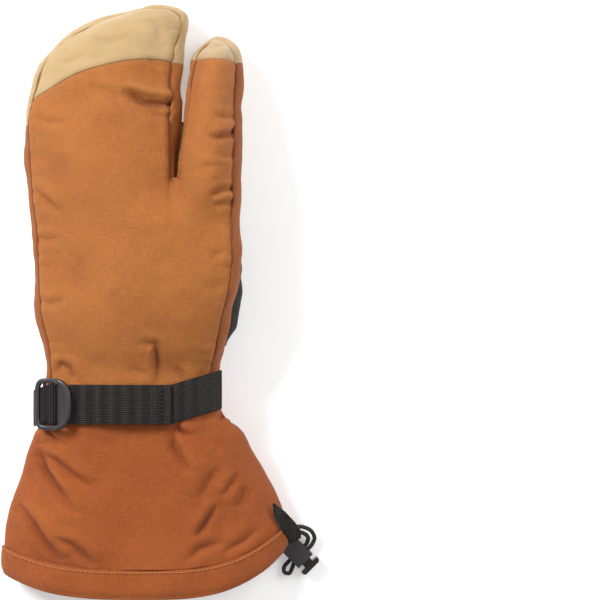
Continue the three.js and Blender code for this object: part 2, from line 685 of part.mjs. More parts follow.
/** The strap: from its sewn end to the buckle, round the bar and back on itself. */
function strapPath() {
  const lay = (from, to, height, steps) =>
    Array.from({ length: steps + 1 }, (_, k) => {
      const { point, normal } = wristTop(mix(from, to, k / steps));
      const lifted = height + 1.6 * Math.max((point.x - strapTail) / (strapEnd - strapTail), 0);
      point.addScaledVector(normal, lifted);
      return [point.x, point.z];
    });
  const turn = barHeight + frameThickness / 2;
  const wrap = barWidth / 2 + gap + webbing / 2;
  const high = frameThickness / 2 + gap + webbing / 2;
  const round = Array.from({ length: 7 }, (_, k) => {
    const angle = -Math.PI / 2 - (Math.PI * k) / 6;
    return onBuckle(barAt + wrap * 1.35 * Math.cos(angle), turn + high * Math.sin(angle) * (k < 3 ? 1 : 1.15));
  });
  const under = loadHeight - 1;
  return [
    ...lay(strapEnd, buckleMiddle + 20, under, 9),
    onBuckle(8, loadHeight),
    ...round,
    onBuckle(barAt + wrap * 0.85, turn + high * 0.85),
    onBuckle(barAt + wrap * 1.35, tailHeight + 0.45),
    onBuckle(barAt + wrap * 2.2, tailHeight),
    onBuckle(9, tailHeight),
    ...lay(buckleMiddle + 17, strapTail, under + webbing + gap, 7),
  ];
}

/** The sewn end of the strap turns towards the fingers. */
const strapLine = (x) => strapMiddle + strapRise * Math.max((x - strapTail) / (strapEnd - strapTail), 0);

/** Ladder-lock buckle: two rails, the two bars and the raised lip. */
function buckleGeometry() {
  const [end, half, window] = [buckleLength / 2, buckleWidth / 2, buckleWidth / 2 - railWidth];
  const lipFrom = end * 0.45;
  const box = (a0, a1, b0, b1) => {
    const hole = new THREE.Path();
    hole.moveTo(a0, b0).lineTo(a1, b0).lineTo(a1, b1).lineTo(a0, b1).closePath();
    return hole;
  };
  const low = new THREE.Shape();
  low.moveTo(-end + 2, -half).lineTo(lipFrom + 2, -half).lineTo(lipFrom + 2, -window);
  low.lineTo(barAt + barWidth / 2, -window).lineTo(barAt + barWidth / 2, window);
  low.lineTo(lipFrom + 2, window).lineTo(lipFrom + 2, half).lineTo(-end + 2, half);
  low.lineTo(-end, half - 2).lineTo(-end, -half + 2).closePath();
  low.holes.push(box(-end + barWidth, barAt - barWidth / 2, -window, window));
  const high = new THREE.Shape();
  high.moveTo(-end + 2, -half).lineTo(lipFrom, -half);
  high.quadraticCurveTo(end + 1.5, -half * 0.75, end, 0);
  high.quadraticCurveTo(end + 1.5, half * 0.75, lipFrom, half);
  high.lineTo(-end + 2, half).lineTo(-end, half - 2).lineTo(-end, -half + 2).closePath();
  high.holes.push(box(-end + barWidth, lipFrom, -window, window));
  const layer = (shape, from, to) => {
    const g = new THREE.ExtrudeGeometry(shape, { depth: to - from, bevelEnabled: false, curveSegments: 5 });
    return solid(g.translate(0, 0, from));
  };
  const body = layer(low, barHeight, lipHeight + 0.2).add(layer(high, lipHeight, frameTop + 0.9));
  const geometry = geometryOf(body).rotateY(buckleTilt);
  return geometry.translate(buckleSeat.point.x, strapMiddle, buckleSeat.point.z);
}

/** Short webbing from the side of the wrist round the buckle's far bar and back. */
function bucklePath() {
  const bar = -buckleLength / 2 + barWidth / 2;
  const turn = (barHeight + frameTop + 0.9) / 2;
  const high = (frameTop + 0.9 - barHeight) / 2 + 2 * gap + webbing / 2;
  const wide = (barWidth / 2 + gap + webbing / 2) * 1.35;
  const round = Array.from({ length: 7 }, (_, k) => {
    const angle = -Math.PI / 2 + (Math.PI * k) / 6;
    return onBuckle(bar + wide * Math.cos(angle), turn + high * Math.sin(angle));
  });
  const low = wristTop(wristRing[0].x).point;
  return [[low.x - 1.6, low.z - 1], onBuckle(bar - 1.2, turn - high - 0.2), ...round,
    onBuckle(bar - 1.4, turn + high), onBuckle(bar - 3.2, turn + high * 0.5), [low.x - 4.6, low.z + 0.5]];
}

const hemEnd = vec(hemMiddle + hemWidth / 2, -cuffLength, 0); // right end of the hem
const lockAt = hemEnd.clone().add(lockFromHem);

/** A box with one long axis turned in plan. */
function lockBox(a0, a1, b, h) {
  const geometry = new THREE.BoxGeometry(a1 - a0, b, h).translate((a0 + a1) / 2, 0, 0);
  return solid(geometry);
}
const strand = cordDiameter + 2 * gap; // room that one strand of cord needs in the lock
const plungerRear = -strand - 1.6;
const lockRear = plungerRear - pressTravel - gap - 1.5;
const lockFront = lockRear + lockLength;

/** Puts a piece made about the lock's cord hole in its place. */
const atLock = (manifold) =>
  geometryOf(manifold).rotateZ(lockTurn).translate(lockAt.x, lockAt.y, lockAt.z);

/** Cord lock body: a block with the plunger's bore and the cord's hole across it. */
function lockGeometry() {
  const bevel = 2;
  const outline = new THREE.Shape();
  const half = lockWidth / 2;
  outline.moveTo(lockRear + bevel, -half).lineTo(lockFront, -half).lineTo(lockFront, half);
  outline.lineTo(lockRear + bevel, half).quadraticCurveTo(lockRear, half, lockRear, half - bevel);
  outline.lineTo(lockRear, -half + bevel).quadraticCurveTo(lockRear, -half, lockRear + bevel, -half);
  const block = new THREE.ExtrudeGeometry(outline, { depth: lockThickness, bevelEnabled: false, curveSegments: 4 });
  const bore = lockBox(plungerRear - pressTravel - gap, lockFront + 1, plungerWidth + 2 * gap, plungerThickness + 2 * gap);
  const hole = lockBox(-strand, strand, lockWidth + 2, cordDiameter + 2 * gap);
  return atLock(solid(block.translate(0, 0, -lockThickness / 2)).subtract(bore).subtract(hole));
}

/** Spring button: a plate on a plunger whose slot lets the cord through over the whole travel. */
function buttonGeometry() {
  const face = lockFront + pressTravel + gap;
  const plunger = lockBox(plungerRear, face + 1, plungerWidth, plungerThickness);
  const slot = lockBox(-strand, strand + pressTravel, plungerWidth + 2, cordDiameter + 2 * gap);
  const outline = new THREE.Shape();
  const [half, bevel] = [buttonWidth / 2, 1];
  outline.moveTo(face, -half).lineTo(face + buttonThickness - bevel, -half);
  outline.lineTo(face + buttonThickness, -half + bevel).lineTo(face + buttonThickness, half - bevel);
  outline.lineTo(face + buttonThickness - bevel, half).lineTo(face, half).closePath();
  const head = new THREE.ExtrudeGeometry(outline, { depth: lockThickness, bevelEnabled: false });
  return atLock(plunger.subtract(slot).add(solid(head.translate(0, 0, -lockThickness / 2))));
}

// The draw cord's route, chosen by hand, from the lock's cord hole: out of the hem's right end, through the lock,
// round and back.
const CORD_ROUTE = [
  [-5.7, 10.9, 5.4],
  [-1.9, 13.5, 5],
  [2.3, 13.2, 3.4],
  [5.3, 10.5, 1.2],
  [4.5, 6.5, 0],
  [1.7, 3.7, 0],
  [-1.1, 0.9, 0],
  [-3.9, -1.9, 0],
  [-6.7, -4.7, 0],
  [-9.1, -7.7, -0.2],
  [-8.9, -10.9, -0.6],
  [-5.9, -11.5, -0.6],
  [-4.3, -8.5, -0.3],
  [-3.1, -5.1, 0],
  [-0.7, -2.7, 0],
  [2.1, 0.1, 0],
  [4.9, 2.9, 0],
  [7.7, 5.9, 0],
  [9.3, 10.1, 0.8],
  [7.1, 14.5, 2.4],
  [2.3, 16.9, 4.2],
  [-2.5, 17.1, 5.4],
  [-5.6, 15.9, 5.8],
];

/** Tube along a route: an eight-sided section carried along the curve. */
function cordGeometry() {
  const curve = new THREE.CatmullRomCurve3(CORD_ROUTE.map((p) => vec(...p).add(lockAt)));
  const section = new THREE.Shape(
    Array.from({ length: 8 }, (_, k) =>
      new THREE.Vector2(Math.cos((Math.PI * k) / 4), Math.sin((Math.PI * k) / 4)).multiplyScalar(cordDiameter / 2)),
  );
  return new THREE.ExtrudeGeometry(section, { steps: 24, extrudePath: curve, bevelEnabled: false });
}

/** Pointed webbing tab from the gauntlet's side fold to the cord lock. */
function tabGeometry() {
  const surface = (s, up, y) => cuffRow(CUFF[7], up, y, 0)[Math.round(s * BACK_COLUMNS)];
  const height = surface(0.92, 1, 0).z + webbing;
  const spine = [
    vec(-7.5, 55, height + 2.6),
    vec(-3.5, 48, height + 1),
    vec(1, 41.5, height - 3.2),
    vec(4.7, 36, cuffEdgeHeight + 3.2),
    vec(5.1, 31.4, lockAt.z + lockThickness / 2 + webbing / 2 + gap),
  ].map((p) => p.add(hemEnd));
  const wide = [1.5, 8, 10, 10, 9];
  const across = vec(0.88, 0.42, 0);
  const side = (sign) =>
    spine.map((p, i) => {
      const run = spine[Math.min(i + 1, spine.length - 1)].clone().sub(spine[Math.max(i - 1, 0)]);
      const n = run.cross(across).normalize().multiplyScalar(-1);
      if (n.z < 0) n.negate();
      return [-1, 1].map((e) =>
        p.clone().addScaledVector(across, (e * wide[i]) / 2).addScaledVector(n, (sign * webbing) / 2));
    });
  return plate(side(1), side(-1));
}

const clipAt = vec(34, -4, clipThickness / 2);

/** Small hook clip: a flat ring with a gap in one side. */
function clipGeometry() {
  const [half, end] = [clipWidth / 2, clipLength / 2];
  const outline = new THREE.Shape();
  outline.moveTo(-half, -end).lineTo(half, -end).lineTo(half, end * 0.3).lineTo(half * 0.55, end * 0.3);
  outline.lineTo(half * 0.55, -end * 0.6).lineTo(-half * 0.6, -end * 0.6).lineTo(-half * 0.6, end * 0.62);
  outline.lineTo(half, end * 0.62).lineTo(half, end).lineTo(-half, end).closePath();
  const geometry = new THREE.ExtrudeGeometry(outline, { depth: clipThickness, bevelEnabled: false });
  return geometry.translate(clipAt.x, clipAt.y, 0);
}

/** Webbing from the gathered wrist down round the clip's upper bar. */
function clipLoopGeometry() {
  const bar = clipAt.y + (clipLength / 2) * 0.81;
  const under = palmUnderside(clipAt.x, bar);
  const path = [
    [bar + 1.2, under - gap - 0.5],
    [bar + 2.6, clipThickness + 2.5],
    [bar + 2.5, clipThickness / 2],
    [bar + 2.5, 0.9],
  ];
  const side = (sign) =>
    path.map(([y, z]) => [-1, 1].map((e) => vec(clipAt.x - 1 + (e * 7) / 2, y + sign * 0.5, z)));
  return plate(side(1), side(-1));
}

const GATHER_ROW = 2; // rows of the gathered wrist, from the strap to the palm leather's edge
const blockLeft = (j) => j < SLIT_COLUMN;
const blockRight = (j) => j > SLIT_COLUMN;
const capRow = SLIT_ROW + CAP_ROW;
const tipStation = SLIT_ROW + TIP_ROW; // the outer strip's last station before the tip
const capOnSlitSide = tipStation + 1 + (TIP_ROW - CAP_ROW);
const indexTip = TIP_ROW;
const indexCapRight = indexTip + 1 + (TIP_ROW - CAP_ROW);

const backPresent = (i, j) => overSlit(i, j) && i < capRow;
const palmPresent = (i, j) => i >= GATHER_ROW && overSlit(i, j) && (i < SLIT_ROW || blockLeft(j));

/** Second layer of leather on the index compartment's underside, standing off the palm by a gap. */
function patchGeometry() {
  const normals = gridNormals(palmSheet);
  const present = (i, j) => i >= SLIT_ROW - 2 && i < SLIT_ROW + TIP_ROW - 2 && j > SLIT_COLUMN + 2;
  return plate(moved(palmSheet, normals, gap + 1.2), moved(palmSheet, normals, gap), present);
}

const pieces = [
  ["hand_back", panel(backSheet, backPresent), ORANGE],
  ["fingers_cap", panel(backSheet, (i, j) => i >= capRow && blockLeft(j)), TAN],
  ["index_cap", panel(backSheet, (i, j) => i >= capRow && blockRight(j)), TAN],
  ["gusset_outer", panel(outerStrip, (i) => i < SLIT_ROW + TAN_ROW), ORANGE],
  ["gusset_tip", panel(outerStrip, (i) => i >= SLIT_ROW + TAN_ROW && i < capOnSlitSide), TAN],
  ["fourchette_fingers", panel(outerStrip, (i) => i >= capOnSlitSide), ORANGE],
  ["fourchette_index", panel(indexStrip, (i) => i < CAP_ROW, gap * 1.2), ORANGE],
  ["gusset_index_tip", panel(indexStrip, (i) => i >= CAP_ROW && i < indexCapRight, gap * 1.2), TAN],
  ["gusset_thumb_side", panel(indexStrip, (i) => i >= indexCapRight), ORANGE],
  ["palm_leather", geometryOf(trimmed(palmSheet, palmPresent, outerStrip).subtract(thumbHollow)), TAN],
  ["index_palm", geometryOf(trimmed(palmSheet, (i, j) => i >= SLIT_ROW && blockRight(j), indexStrip)), TAN],
  ["index_patch", patchGeometry(), TAN],
  ["thumb_back", geometryOf(thumbShell.intersect(thumbPanelPrism(0))), BLACK],
  ["thumb_leather", geometryOf(thumbShell.subtract(thumbPanelPrism(gap))), TAN],
  ["wrist_gather", panel(palmSheet, (i) => i < GATHER_ROW), ORANGE],
  ["cuff_back", plate(cuffGrid, cuffInner, (i, j) => j < BACK_COLUMNS), ORANGE],
  ["cuff_palm", plate(cuffGrid, cuffInner, (i, j) => j >= BACK_COLUMNS), ORANGE],
  ["cuff_hem", band(hemGrid, moved(hemGrid, hemNormals, -hemWall), 1.5 * gap), ORANGE],
  ["wrist_strap", ribbon(strapPath(), strapWidth, strapLine), BLACK],
  ["buckle_loop", ribbon(bucklePath(), strapWidth * 0.6, () => strapMiddle), BLACK],
  ["ladder_buckle", buckleGeometry(), BLACK],
  ["lock_tab", tabGeometry(), BLACK],
  ["cord_lock", lockGeometry(), BLACK],
  ["cord_lock_button", buttonGeometry(), BLACK],
  ["draw_cord", cordGeometry(), BLACK],
  ["clip_loop", clipLoopGeometry(), BLACK],
  ["glove_clip", clipGeometry(), BLACK],
];

const mitt = new THREE.Group();
for (const [name, geometry, color] of pieces) {
  const roughness = color === BLACK ? 0.6 : 0.85;
  const mesh = new THREE.Mesh(geometry, new THREE.MeshStandardMaterial({ color, roughness, metalness: 0 }));
  mesh.name = name;
  mitt.add(mesh);
}

// The origin is under the middle of the whole mitt, on the floor.
const bounds = new THREE.Box3().setFromObject(mitt);
const middle = bounds.getCenter(vec(0, 0, 0));
mitt.position.set(-middle.x, -middle.y, -bounds.min.z);

export default mitt;
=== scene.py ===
import bmesh
import bpy
import numpy as np
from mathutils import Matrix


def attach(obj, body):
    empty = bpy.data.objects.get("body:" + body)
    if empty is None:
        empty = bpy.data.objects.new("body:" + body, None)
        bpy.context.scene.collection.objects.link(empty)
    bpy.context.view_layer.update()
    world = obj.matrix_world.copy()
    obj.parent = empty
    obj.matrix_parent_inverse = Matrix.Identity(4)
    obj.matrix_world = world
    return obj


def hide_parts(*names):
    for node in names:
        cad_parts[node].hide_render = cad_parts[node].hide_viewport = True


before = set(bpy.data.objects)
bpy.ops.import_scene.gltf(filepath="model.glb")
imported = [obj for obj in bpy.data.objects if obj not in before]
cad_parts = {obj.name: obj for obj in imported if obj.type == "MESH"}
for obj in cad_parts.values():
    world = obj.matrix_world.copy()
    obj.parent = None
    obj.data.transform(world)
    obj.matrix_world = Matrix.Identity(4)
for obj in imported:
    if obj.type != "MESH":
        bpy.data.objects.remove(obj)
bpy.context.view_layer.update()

# Where the part's layout lies in the row frame, in mm
LAYOUT_SHIFT = np.array([-15.2786, -58.9829, 0.0])
MM = 0.001

# The photograph's scale and the pixel that lies at the layout's x 0 and y 0
PIXEL = 0.6
PHOTO_ZERO = (135.0, 397.5)
PHOTO_SIZE = 600

# Driving sizes, as in the part, in mm
PALM_LENGTH = 130.5
FINGERS_LENGTH = 105.6
INDEX_LENGTH = 86.4
PALM_WIDTH = 130.0
PINKY_LIFT = 22.0
THUMB_SIDE_LIFT = 47.0
TIP_LIFT = 13.0
SIDE_HEIGHT = 18.0
CROWN_HEIGHT = 12.0
BELLY_DEPTH = 9.0
GROOVE_LENGTH = 30.0
LEFT_INSET = 3.2
SLIT_INSET = 6.5
INDEX_INSET = 3.0
RIGHT_INSET = 4.8
SLIT_SEAM = 2.0
THUMB_START = 31.0
THUMB_LENGTH = 134.0
THUMB_WIDTH = 56.0
THUMB_DEPTH = 20.0
THUMB_MIDDLE = 30.0
THUMB_SEAM_HEIGHT = 14.0
THUMB_SEAM_TILT = 18.0
PAD_WALL = 5.0
CUFF_LENGTH = 118.0
HEM_WIDTH = 170.0
HEM_MIDDLE = 5.5
CUFF_HEIGHT = 40.0
CUFF_EDGE_HEIGHT = 12.0
HEM_BAND = 17.0
HEM_RISE_LEFT = 13.0
HEM_RISE_RIGHT = 26.0
WEBBING = 1.5
STRAP_WIDTH = 23.4
STRAP_MIDDLE = -3.3
STRAP_END = 50.0
STRAP_TAIL = 22.5
STRAP_RISE = 8.0
BUCKLE_MIDDLE = -45.0
BAR_WIDTH = 2.0
FRAME_THICKNESS = 1.9
GAP = 0.3
CORD_DIAMETER = 2.5

# Sizes that only the dressed model has, in mm
SHELL_THICKNESS = 1.2
GAUNTLET_THICKNESS = 1.6
PATCH_THICKNESS = 1.1
FLOOR_GAP = 0.05
FAR = 1e9  # farther than any edge

# Rows of the compartments, counted from the slit
CAP_ROW = 6
TIP_ROW = 12
GATHER = 0.196  # share of the palm's length where the palm leather begins


def table(names, rows):
    """Columns of a short table by name, as arrays."""
    return dict(zip(names.split(), np.array(rows, float).T))


# The hand between wrist and slit, in the part's shares
HAND = table(
    "along left right pinky thumb side crown belly",
    [
        (0, -0.41, 0.396, 1.14, 0.6, 0.89, 0.75, 0.8),
        (0.135, -0.405, 0.393, 1.14, 0.6, 0.89, 0.75, 0.8),
        (0.24, -0.415, 0.42, 1.08, 0.76, 0.95, 0.9, 0.9),
        (0.38, -0.452, 0.448, 1.02, 0.9, 1, 1, 1),
        (0.52, -0.4615, 0.4846, 1, 0.97, 1, 1, 1),
        (0.66, -0.466, 0.496, 0.98, 0.99, 1, 1, 1),
        (0.8, -0.475, 0.487, 0.97, 0.97, 1, 1, 0.95),
        (0.93, -0.494, 0.494, 0.96, 0.95, 1, 1, 0.85),
        (1, -0.498, 0.494, 0.95, 0.94, 1, 1, 0.8),
    ],
)

# Outlines seen from above, from the slit round the tip, in shares of the palm's width and of the
# compartment's length
FINGERS_OUTLINE = table(
    "across along",
    [
        (-0.498, 0),
        (-0.508, 0.17),
        (-0.512, 0.34),
        (-0.475, 0.51),
        (-0.429, 0.68),
        (-0.309, 0.83),
        (-0.134, 0.932),
        (0.069, 1),
        (0.217, 0.966),
        (0.245, 0.88),
        (0.235, 0.777),
        (0.226, 0.68),
        (0.215, 0.51),
        (0.225, 0.43),
        (0.215, 0.3),
        (0.196, 0.085),
        (0.189, 0),
    ],
)
INDEX_OUTLINE = table(
    "across along",
    [
        (0.1965, 0),
        (0.2055, 0.104),
        (0.225, 0.37),
        (0.238, 0.54),
        (0.24, 0.625),
        (0.249, 0.73),
        (0.277, 0.889),
        (0.328, 0.972),
        (0.383, 1),
        (0.443, 0.972),
        (0.485, 0.889),
        (0.503, 0.73),
        (0.499, 0.52),
        (0.503, 0.417),
        (0.499, 0.208),
        (0.494, 0),
    ],
)

# The thumb from its base to its tip; an over of 0 is the open base, which runs up into the palm
THUMB = table(
    "along left right under over",
    [
        (0, -0.36, 0.44, 0.75, 0),
        (0.1, -0.6, 0.57, 0.25, 0),
        (0.22, -0.71, 0.61, 0.04, 0),
        (0.33, -0.62, 0.62, 0, 0),
        (0.4, -0.52, 0.57, 0, 1.05),
        (0.47, -0.49, 0.53, 0, 1),
        (0.57, -0.475, 0.465, 0, 1),
        (0.68, -0.46, 0.4, 0, 0.98),
        (0.8, -0.435, 0.32, 0, 0.95),
        (0.9, -0.37, 0.235, 0, 0.9),
        (0.97, -0.27, 0.14, 0.1, 0.8),
        (1, -0.16, 0.06, 0.25, 0.65),
    ],
)

# The gauntlet from wrist to hem
CUFF = table(
    "along left right settle rise",
    [
        (0, 0, 0, 0, 0),
        (0.06, 0.01, 0.01, 0.01, 0),
        (0.12, 0.06, 0.12, 0.06, 0.02),
        (0.2, 0.28, 0.35, 0.25, 0.15),
        (0.32, 0.46, 0.47, 0.5, 0.3),
        (0.46, 0.62, 0.64, 0.78, 0.5),
        (0.63, 0.85, 0.83, 0.95, 0.75),
        (0.75, 0.96, 0.94, 1, 0.9),
        (0.856, 1, 1, 1, 1),
    ],
)

# The draw cord's route from inside the hem's right end through the lock, round and back, as in the part
CORD_ROUTE = [
    (92.8, -84.6, 10),
    (96.6, -82, 9.6),
    (100.8, -82.3, 8),
    (103.8, -85, 5.8),
    (103, -89, 4.6),
    (100.2, -91.8, 4.6),
    (97.4, -94.6, 4.6),
    (94.6, -97.4, 4.6),
    (91.8, -100.2, 4.6),
    (89.4, -103.2, 4.4),
    (89.6, -106.4, 4),
    (92.6, -107, 4),
    (94.2, -104, 4.3),
    (95.4, -100.6, 4.6),
    (97.8, -98.2, 4.6),
    (100.6, -95.4, 4.6),
    (103.4, -92.6, 4.6),
    (106.2, -89.6, 4.6),
    (107.8, -85.4, 5.4),
    (105.6, -81, 7),
    (100.8, -78.6, 8.8),
    (96, -78.4, 10),
    (92.9, -79.6, 10.4),
]


def photo(points):
    """Photograph pixels as layout millimetres, x and y."""
    p = np.array(points, float)
    return np.stack([(p[:, 0] - PHOTO_ZERO[0]) * PIXEL, (PHOTO_ZERO[1] - p[:, 1]) * PIXEL], 1)


def in_frame(p):
    """Layout millimetres as row frame metres."""
    return (np.asarray(p, float) + LAYOUT_SHIFT) * MM


# Camera: it looks straight down from the photograph's height, with the whole photograph in view


def make_camera():
    """A long lens over the photograph's middle pixel."""
    lens, sensor = 160.0, 36.0
    span = PHOTO_SIZE * PIXEL * MM
    middle = photo([(PHOTO_SIZE / 2, PHOTO_SIZE / 2)])[0]
    at = in_frame([*middle, 20.0])
    data = bpy.data.cameras.new("photo_camera")
    data.lens = lens
    data.sensor_width = sensor
    data.clip_end = 20
    camera = bpy.data.objects.new("photo_camera", data)
    bpy.context.collection.objects.link(camera)
    camera.location = (at[0], at[1], at[2] + span * lens / sensor)
    bpy.context.scene.camera = camera


make_camera()

# Materials


def linear(code, alpha=1.0):
    """An sRGB hex colour as linear red, green, blue and alpha."""
    s = np.array([int(code[i : i + 2], 16) for i in (1, 3, 5)]) / 255
    rgb = np.where(s <= 0.04045, s / 12.92, ((s + 0.055) / 1.055) ** 2.4)
    return (*rgb.tolist(), alpha)


def add(tree, kind, settings=None, **links):
    """A node with its settings and links.

    A link is named for its input, with _ for a space, or i and its number. Its value is a socket or a value.
    """
    node = tree.nodes.new(kind)
    for name, value in (settings or {}).items():
        setattr(node, name, value)
    for name, value in links.items():
        key = int(name[1:]) if name[0] == "i" and name[1:].isdigit() else name.replace("_", " ")
        socket = node.inputs[key]
        if isinstance(value, bpy.types.NodeSocket):
            tree.links.new(value, socket)
        else:
            socket.default_value = value
    return node


def material(name, color, roughness, **settings):
    """A Principled material of one colour: its tree and shader, for patterns to be added."""
    made = bpy.data.materials.new(name)
    made.use_nodes = True
    tree = made.node_tree
    shader = tree.nodes["Principled BSDF"]
    shader.inputs["Base Color"].default_value = linear(color)
    shader.inputs["Roughness"].default_value = roughness
    for key, value in settings.items():
        shader.inputs[key.replace("_", " ")].default_value = value
    return made, tree, shader


def mottle(tree, vector, size, low, high, colors, detail=3.0):
    """Two colours mixed by noise of a real size in mm, between the noise values low and high."""
    noise = add(tree, "ShaderNodeTexNoise", Vector=vector, Scale=1 / (size * MM), Detail=detail)
    ramp = add(tree, "ShaderNodeMapRange", i0=noise.outputs["Fac"], i1=low, i2=high)
    blend = add(tree, "ShaderNodeMix", {"data_type": "RGBA"}, i0=ramp.outputs[0])
    for k, color in zip((6, 7), colors):
        if isinstance(color, str):
            blend.inputs[k].default_value = linear(color)
        else:
            tree.links.new(color, blend.inputs[k])
    return blend.outputs[2]


def band_scale(pitch):
    """A wave texture's scale for bands one pitch in mm apart: its own bands are 2 pi / 20 apart."""
    return 2 * np.pi / 20 / (pitch * MM)


def weave(tree, uv, pitch):
    """Height of a plain weave: threads both ways, one pitch in mm apart."""
    shape = {"Vector": uv, "Scale": band_scale(pitch), "Distortion": 0.6, "Detail_Scale": 2.0}
    both = []
    for axis in ("X", "Y"):
        bands = add(tree, "ShaderNodeTexWave", {"wave_type": "BANDS", "bands_direction": axis}, **shape)
        both.append(bands.outputs["Fac"])
    return add(tree, "ShaderNodeMath", {"operation": "ADD"}, i0=both[0], i1=both[1]).outputs[0]


def bump(tree, shader, layers):
    """Stacks bump layers of (height socket, depth in mm) on the shader."""
    normal = None
    for height, depth in layers:
        links = {"Height": height, "Distance": depth * MM, "Strength": 1.0}
        if normal:
            links["Normal"] = normal
        normal = add(tree, "ShaderNodeBump", **links).outputs["Normal"]
    tree.links.new(normal, shader.inputs["Normal"])


def painted_relief_shading(tree, base, crease_shade, light):
    """The base colour by the mesh's relief in mm: painted shade where the cloth is drawn in, and paler on its
    ridges, partly wear and partly painted highlight.
    """
    relief = add(tree, "ShaderNodeAttribute", {"attribute_name": "relief"}).outputs["Fac"]
    color = base
    # Painted shade in the creases first, then the paler ridges, partly wear and partly painted highlight
    for start, end, code, most in ((-0.9, -3.2, crease_shade, 0.6), (0.9, 2.8, light, 0.3)):
        factor = add(tree, "ShaderNodeMapRange", i0=relief, i1=start, i2=end).outputs[0]
        part = add(tree, "ShaderNodeMath", {"operation": "MULTIPLY"}, i0=factor, i1=most).outputs[0]
        blend = add(tree, "ShaderNodeMix", {"data_type": "RGBA"}, i0=part, i6=color)
        blend.inputs[7].default_value = linear(code)
        color = blend.outputs[2]
    return color


def slubs(tree, uv, thin, long):
    """Uneven threads both ways: noise drawn out along each direction, thin across and long along, in mm."""
    noises = []
    for across, along in ((thin, long), (long, thin)):
        scale = (1 / (across * MM), 1 / (along * MM), 1.0)
        stretched = add(tree, "ShaderNodeMapping", Vector=uv, Scale=scale).outputs[0]
        noise = add(tree, "ShaderNodeTexNoise", Vector=stretched, Scale=1.0, Detail=1.0)
        noises.append(noise.outputs["Fac"])
    return add(tree, "ShaderNodeMath", {"operation": "ADD"}, i0=noises[0], i1=noises[1]).outputs[0]


def duck_cloth(name, colors, crease_shade, light):
    """Cotton duck: a firm plain weave, matt, with uneven threads about 0.6 mm apart, with painted shade in
    its creases and paler ridges, partly wear and partly painted highlight.
    """
    made, tree, shader = material(name, colors[0], 0.82, Sheen_Weight=0.04, Sheen_Roughness=0.5)
    coords = add(tree, "ShaderNodeTexCoord")
    spot, uv = coords.outputs["Object"], coords.outputs["UV"]
    broad = mottle(tree, spot, 30, 0.3, 0.72, (colors[0], colors[1]))
    threads = slubs(tree, uv, 0.6, 7.0)
    level = add(tree, "ShaderNodeMapRange", i0=threads, i1=0.8, i2=1.2).outputs[0]
    part = add(tree, "ShaderNodeMath", {"operation": "MULTIPLY"}, i0=level, i1=0.6).outputs[0]
    fine = add(tree, "ShaderNodeMix", {"data_type": "RGBA"}, i0=part, i6=broad)
    fine.inputs[7].default_value = linear(colors[2])
    # Painted shade in the creases and paler ridges, partly wear and partly painted highlight, from the relief
    tree.links.new(painted_relief_shading(tree, fine.outputs[2], crease_shade, light), shader.inputs["Base Color"])
    bump(tree, shader, [(threads, 0.22), (weave(tree, uv, 0.6), 0.08)])
    return made


def suede(name, colors, crease_shade, light):
    """Split leather: a matt nap with soft mottling and fine grain, painted shade in its creases and paler
    ridges, partly wear and partly painted highlight.
    """
    made, tree, shader = material(name, colors[0], 0.9, Sheen_Weight=0.35, Sheen_Roughness=0.45)
    spot = add(tree, "ShaderNodeTexCoord").outputs["Object"]
    broad = mottle(tree, spot, 18, 0.3, 0.7, (colors[0], colors[1]))
    fine = mottle(tree, spot, 1.0, 0.36, 0.66, (broad, colors[2]), 5.0)
    part = add(tree, "ShaderNodeMix", {"data_type": "RGBA"}, i0=0.3, i6=broad, i7=fine).outputs[2]
    # Painted shade in the creases and paler ridges, partly wear and partly painted highlight, from the relief
    tree.links.new(painted_relief_shading(tree, part, crease_shade, light), shader.inputs["Base Color"])
    nap = add(tree, "ShaderNodeTexNoise", Vector=spot, Scale=1 / (0.9 * MM), Detail=5.0).outputs["Fac"]
    pores = add(tree, "ShaderNodeTexNoise", Vector=spot, Scale=1 / (5.0 * MM), Detail=3.0).outputs["Fac"]
    bump(tree, shader, [(pores, 0.22), (nap, 0.1)])
    return made


def fleece(name, color, light):
    """Brushed knit: dark short pile with fine loops."""
    pile_gloss = {"Sheen_Weight": 0.1, "Sheen_Roughness": 0.4, "Specular_IOR_Level": 0.3}
    made, tree, shader = material(name, color, 0.95, **pile_gloss)
    spot = add(tree, "ShaderNodeTexCoord").outputs["Object"]
    tree.links.new(mottle(tree, spot, 1.2, 0.4, 0.7, (color, light), 4.0), shader.inputs["Base Color"])
    pile = add(tree, "ShaderNodeTexNoise", Vector=spot, Scale=1 / (0.8 * MM), Detail=3.0).outputs["Fac"]
    bump(tree, shader, [(pile, 0.35)])
    return made


def ribbed_webbing(name, color, light, source="UV"):
    """Nylon webbing: dull, with ribs across it 1.4 mm apart, with painted shade in the gaps between its
    threads.

    The threads are drawn about twice as coarse as real ones, so that they show.
    """
    made, tree, shader = material(name, color, 0.62, Specular_IOR_Level=0.3)
    coords = add(tree, "ShaderNodeTexCoord")
    spot, uv = coords.outputs["Object"], coords.outputs[source]
    fuzz = mottle(tree, spot, 0.8, 0.35, 0.7, (color, light), 3.0)
    bands = add(tree, "ShaderNodeTexWave", {"bands_direction": "X"}, Vector=uv, Scale=band_scale(1.4))
    threads = weave(tree, uv, 1.2)
    level = add(tree, "ShaderNodeMapRange", i0=threads, i1=0.6, i2=1.8).outputs[0]
    thread_gap_shade = add(tree, "ShaderNodeMix", {"data_type": "RGBA"}, i0=level, i7=fuzz)
    # Painted shade: near black where the weave's height is low, in the gaps between its threads
    thread_gap_shade.inputs[6].default_value = linear("#0b0908")
    tree.links.new(thread_gap_shade.outputs[2], shader.inputs["Base Color"])
    bump(tree, shader, [(bands.outputs["Fac"], 0.45), (threads, 0.25)])
    return made


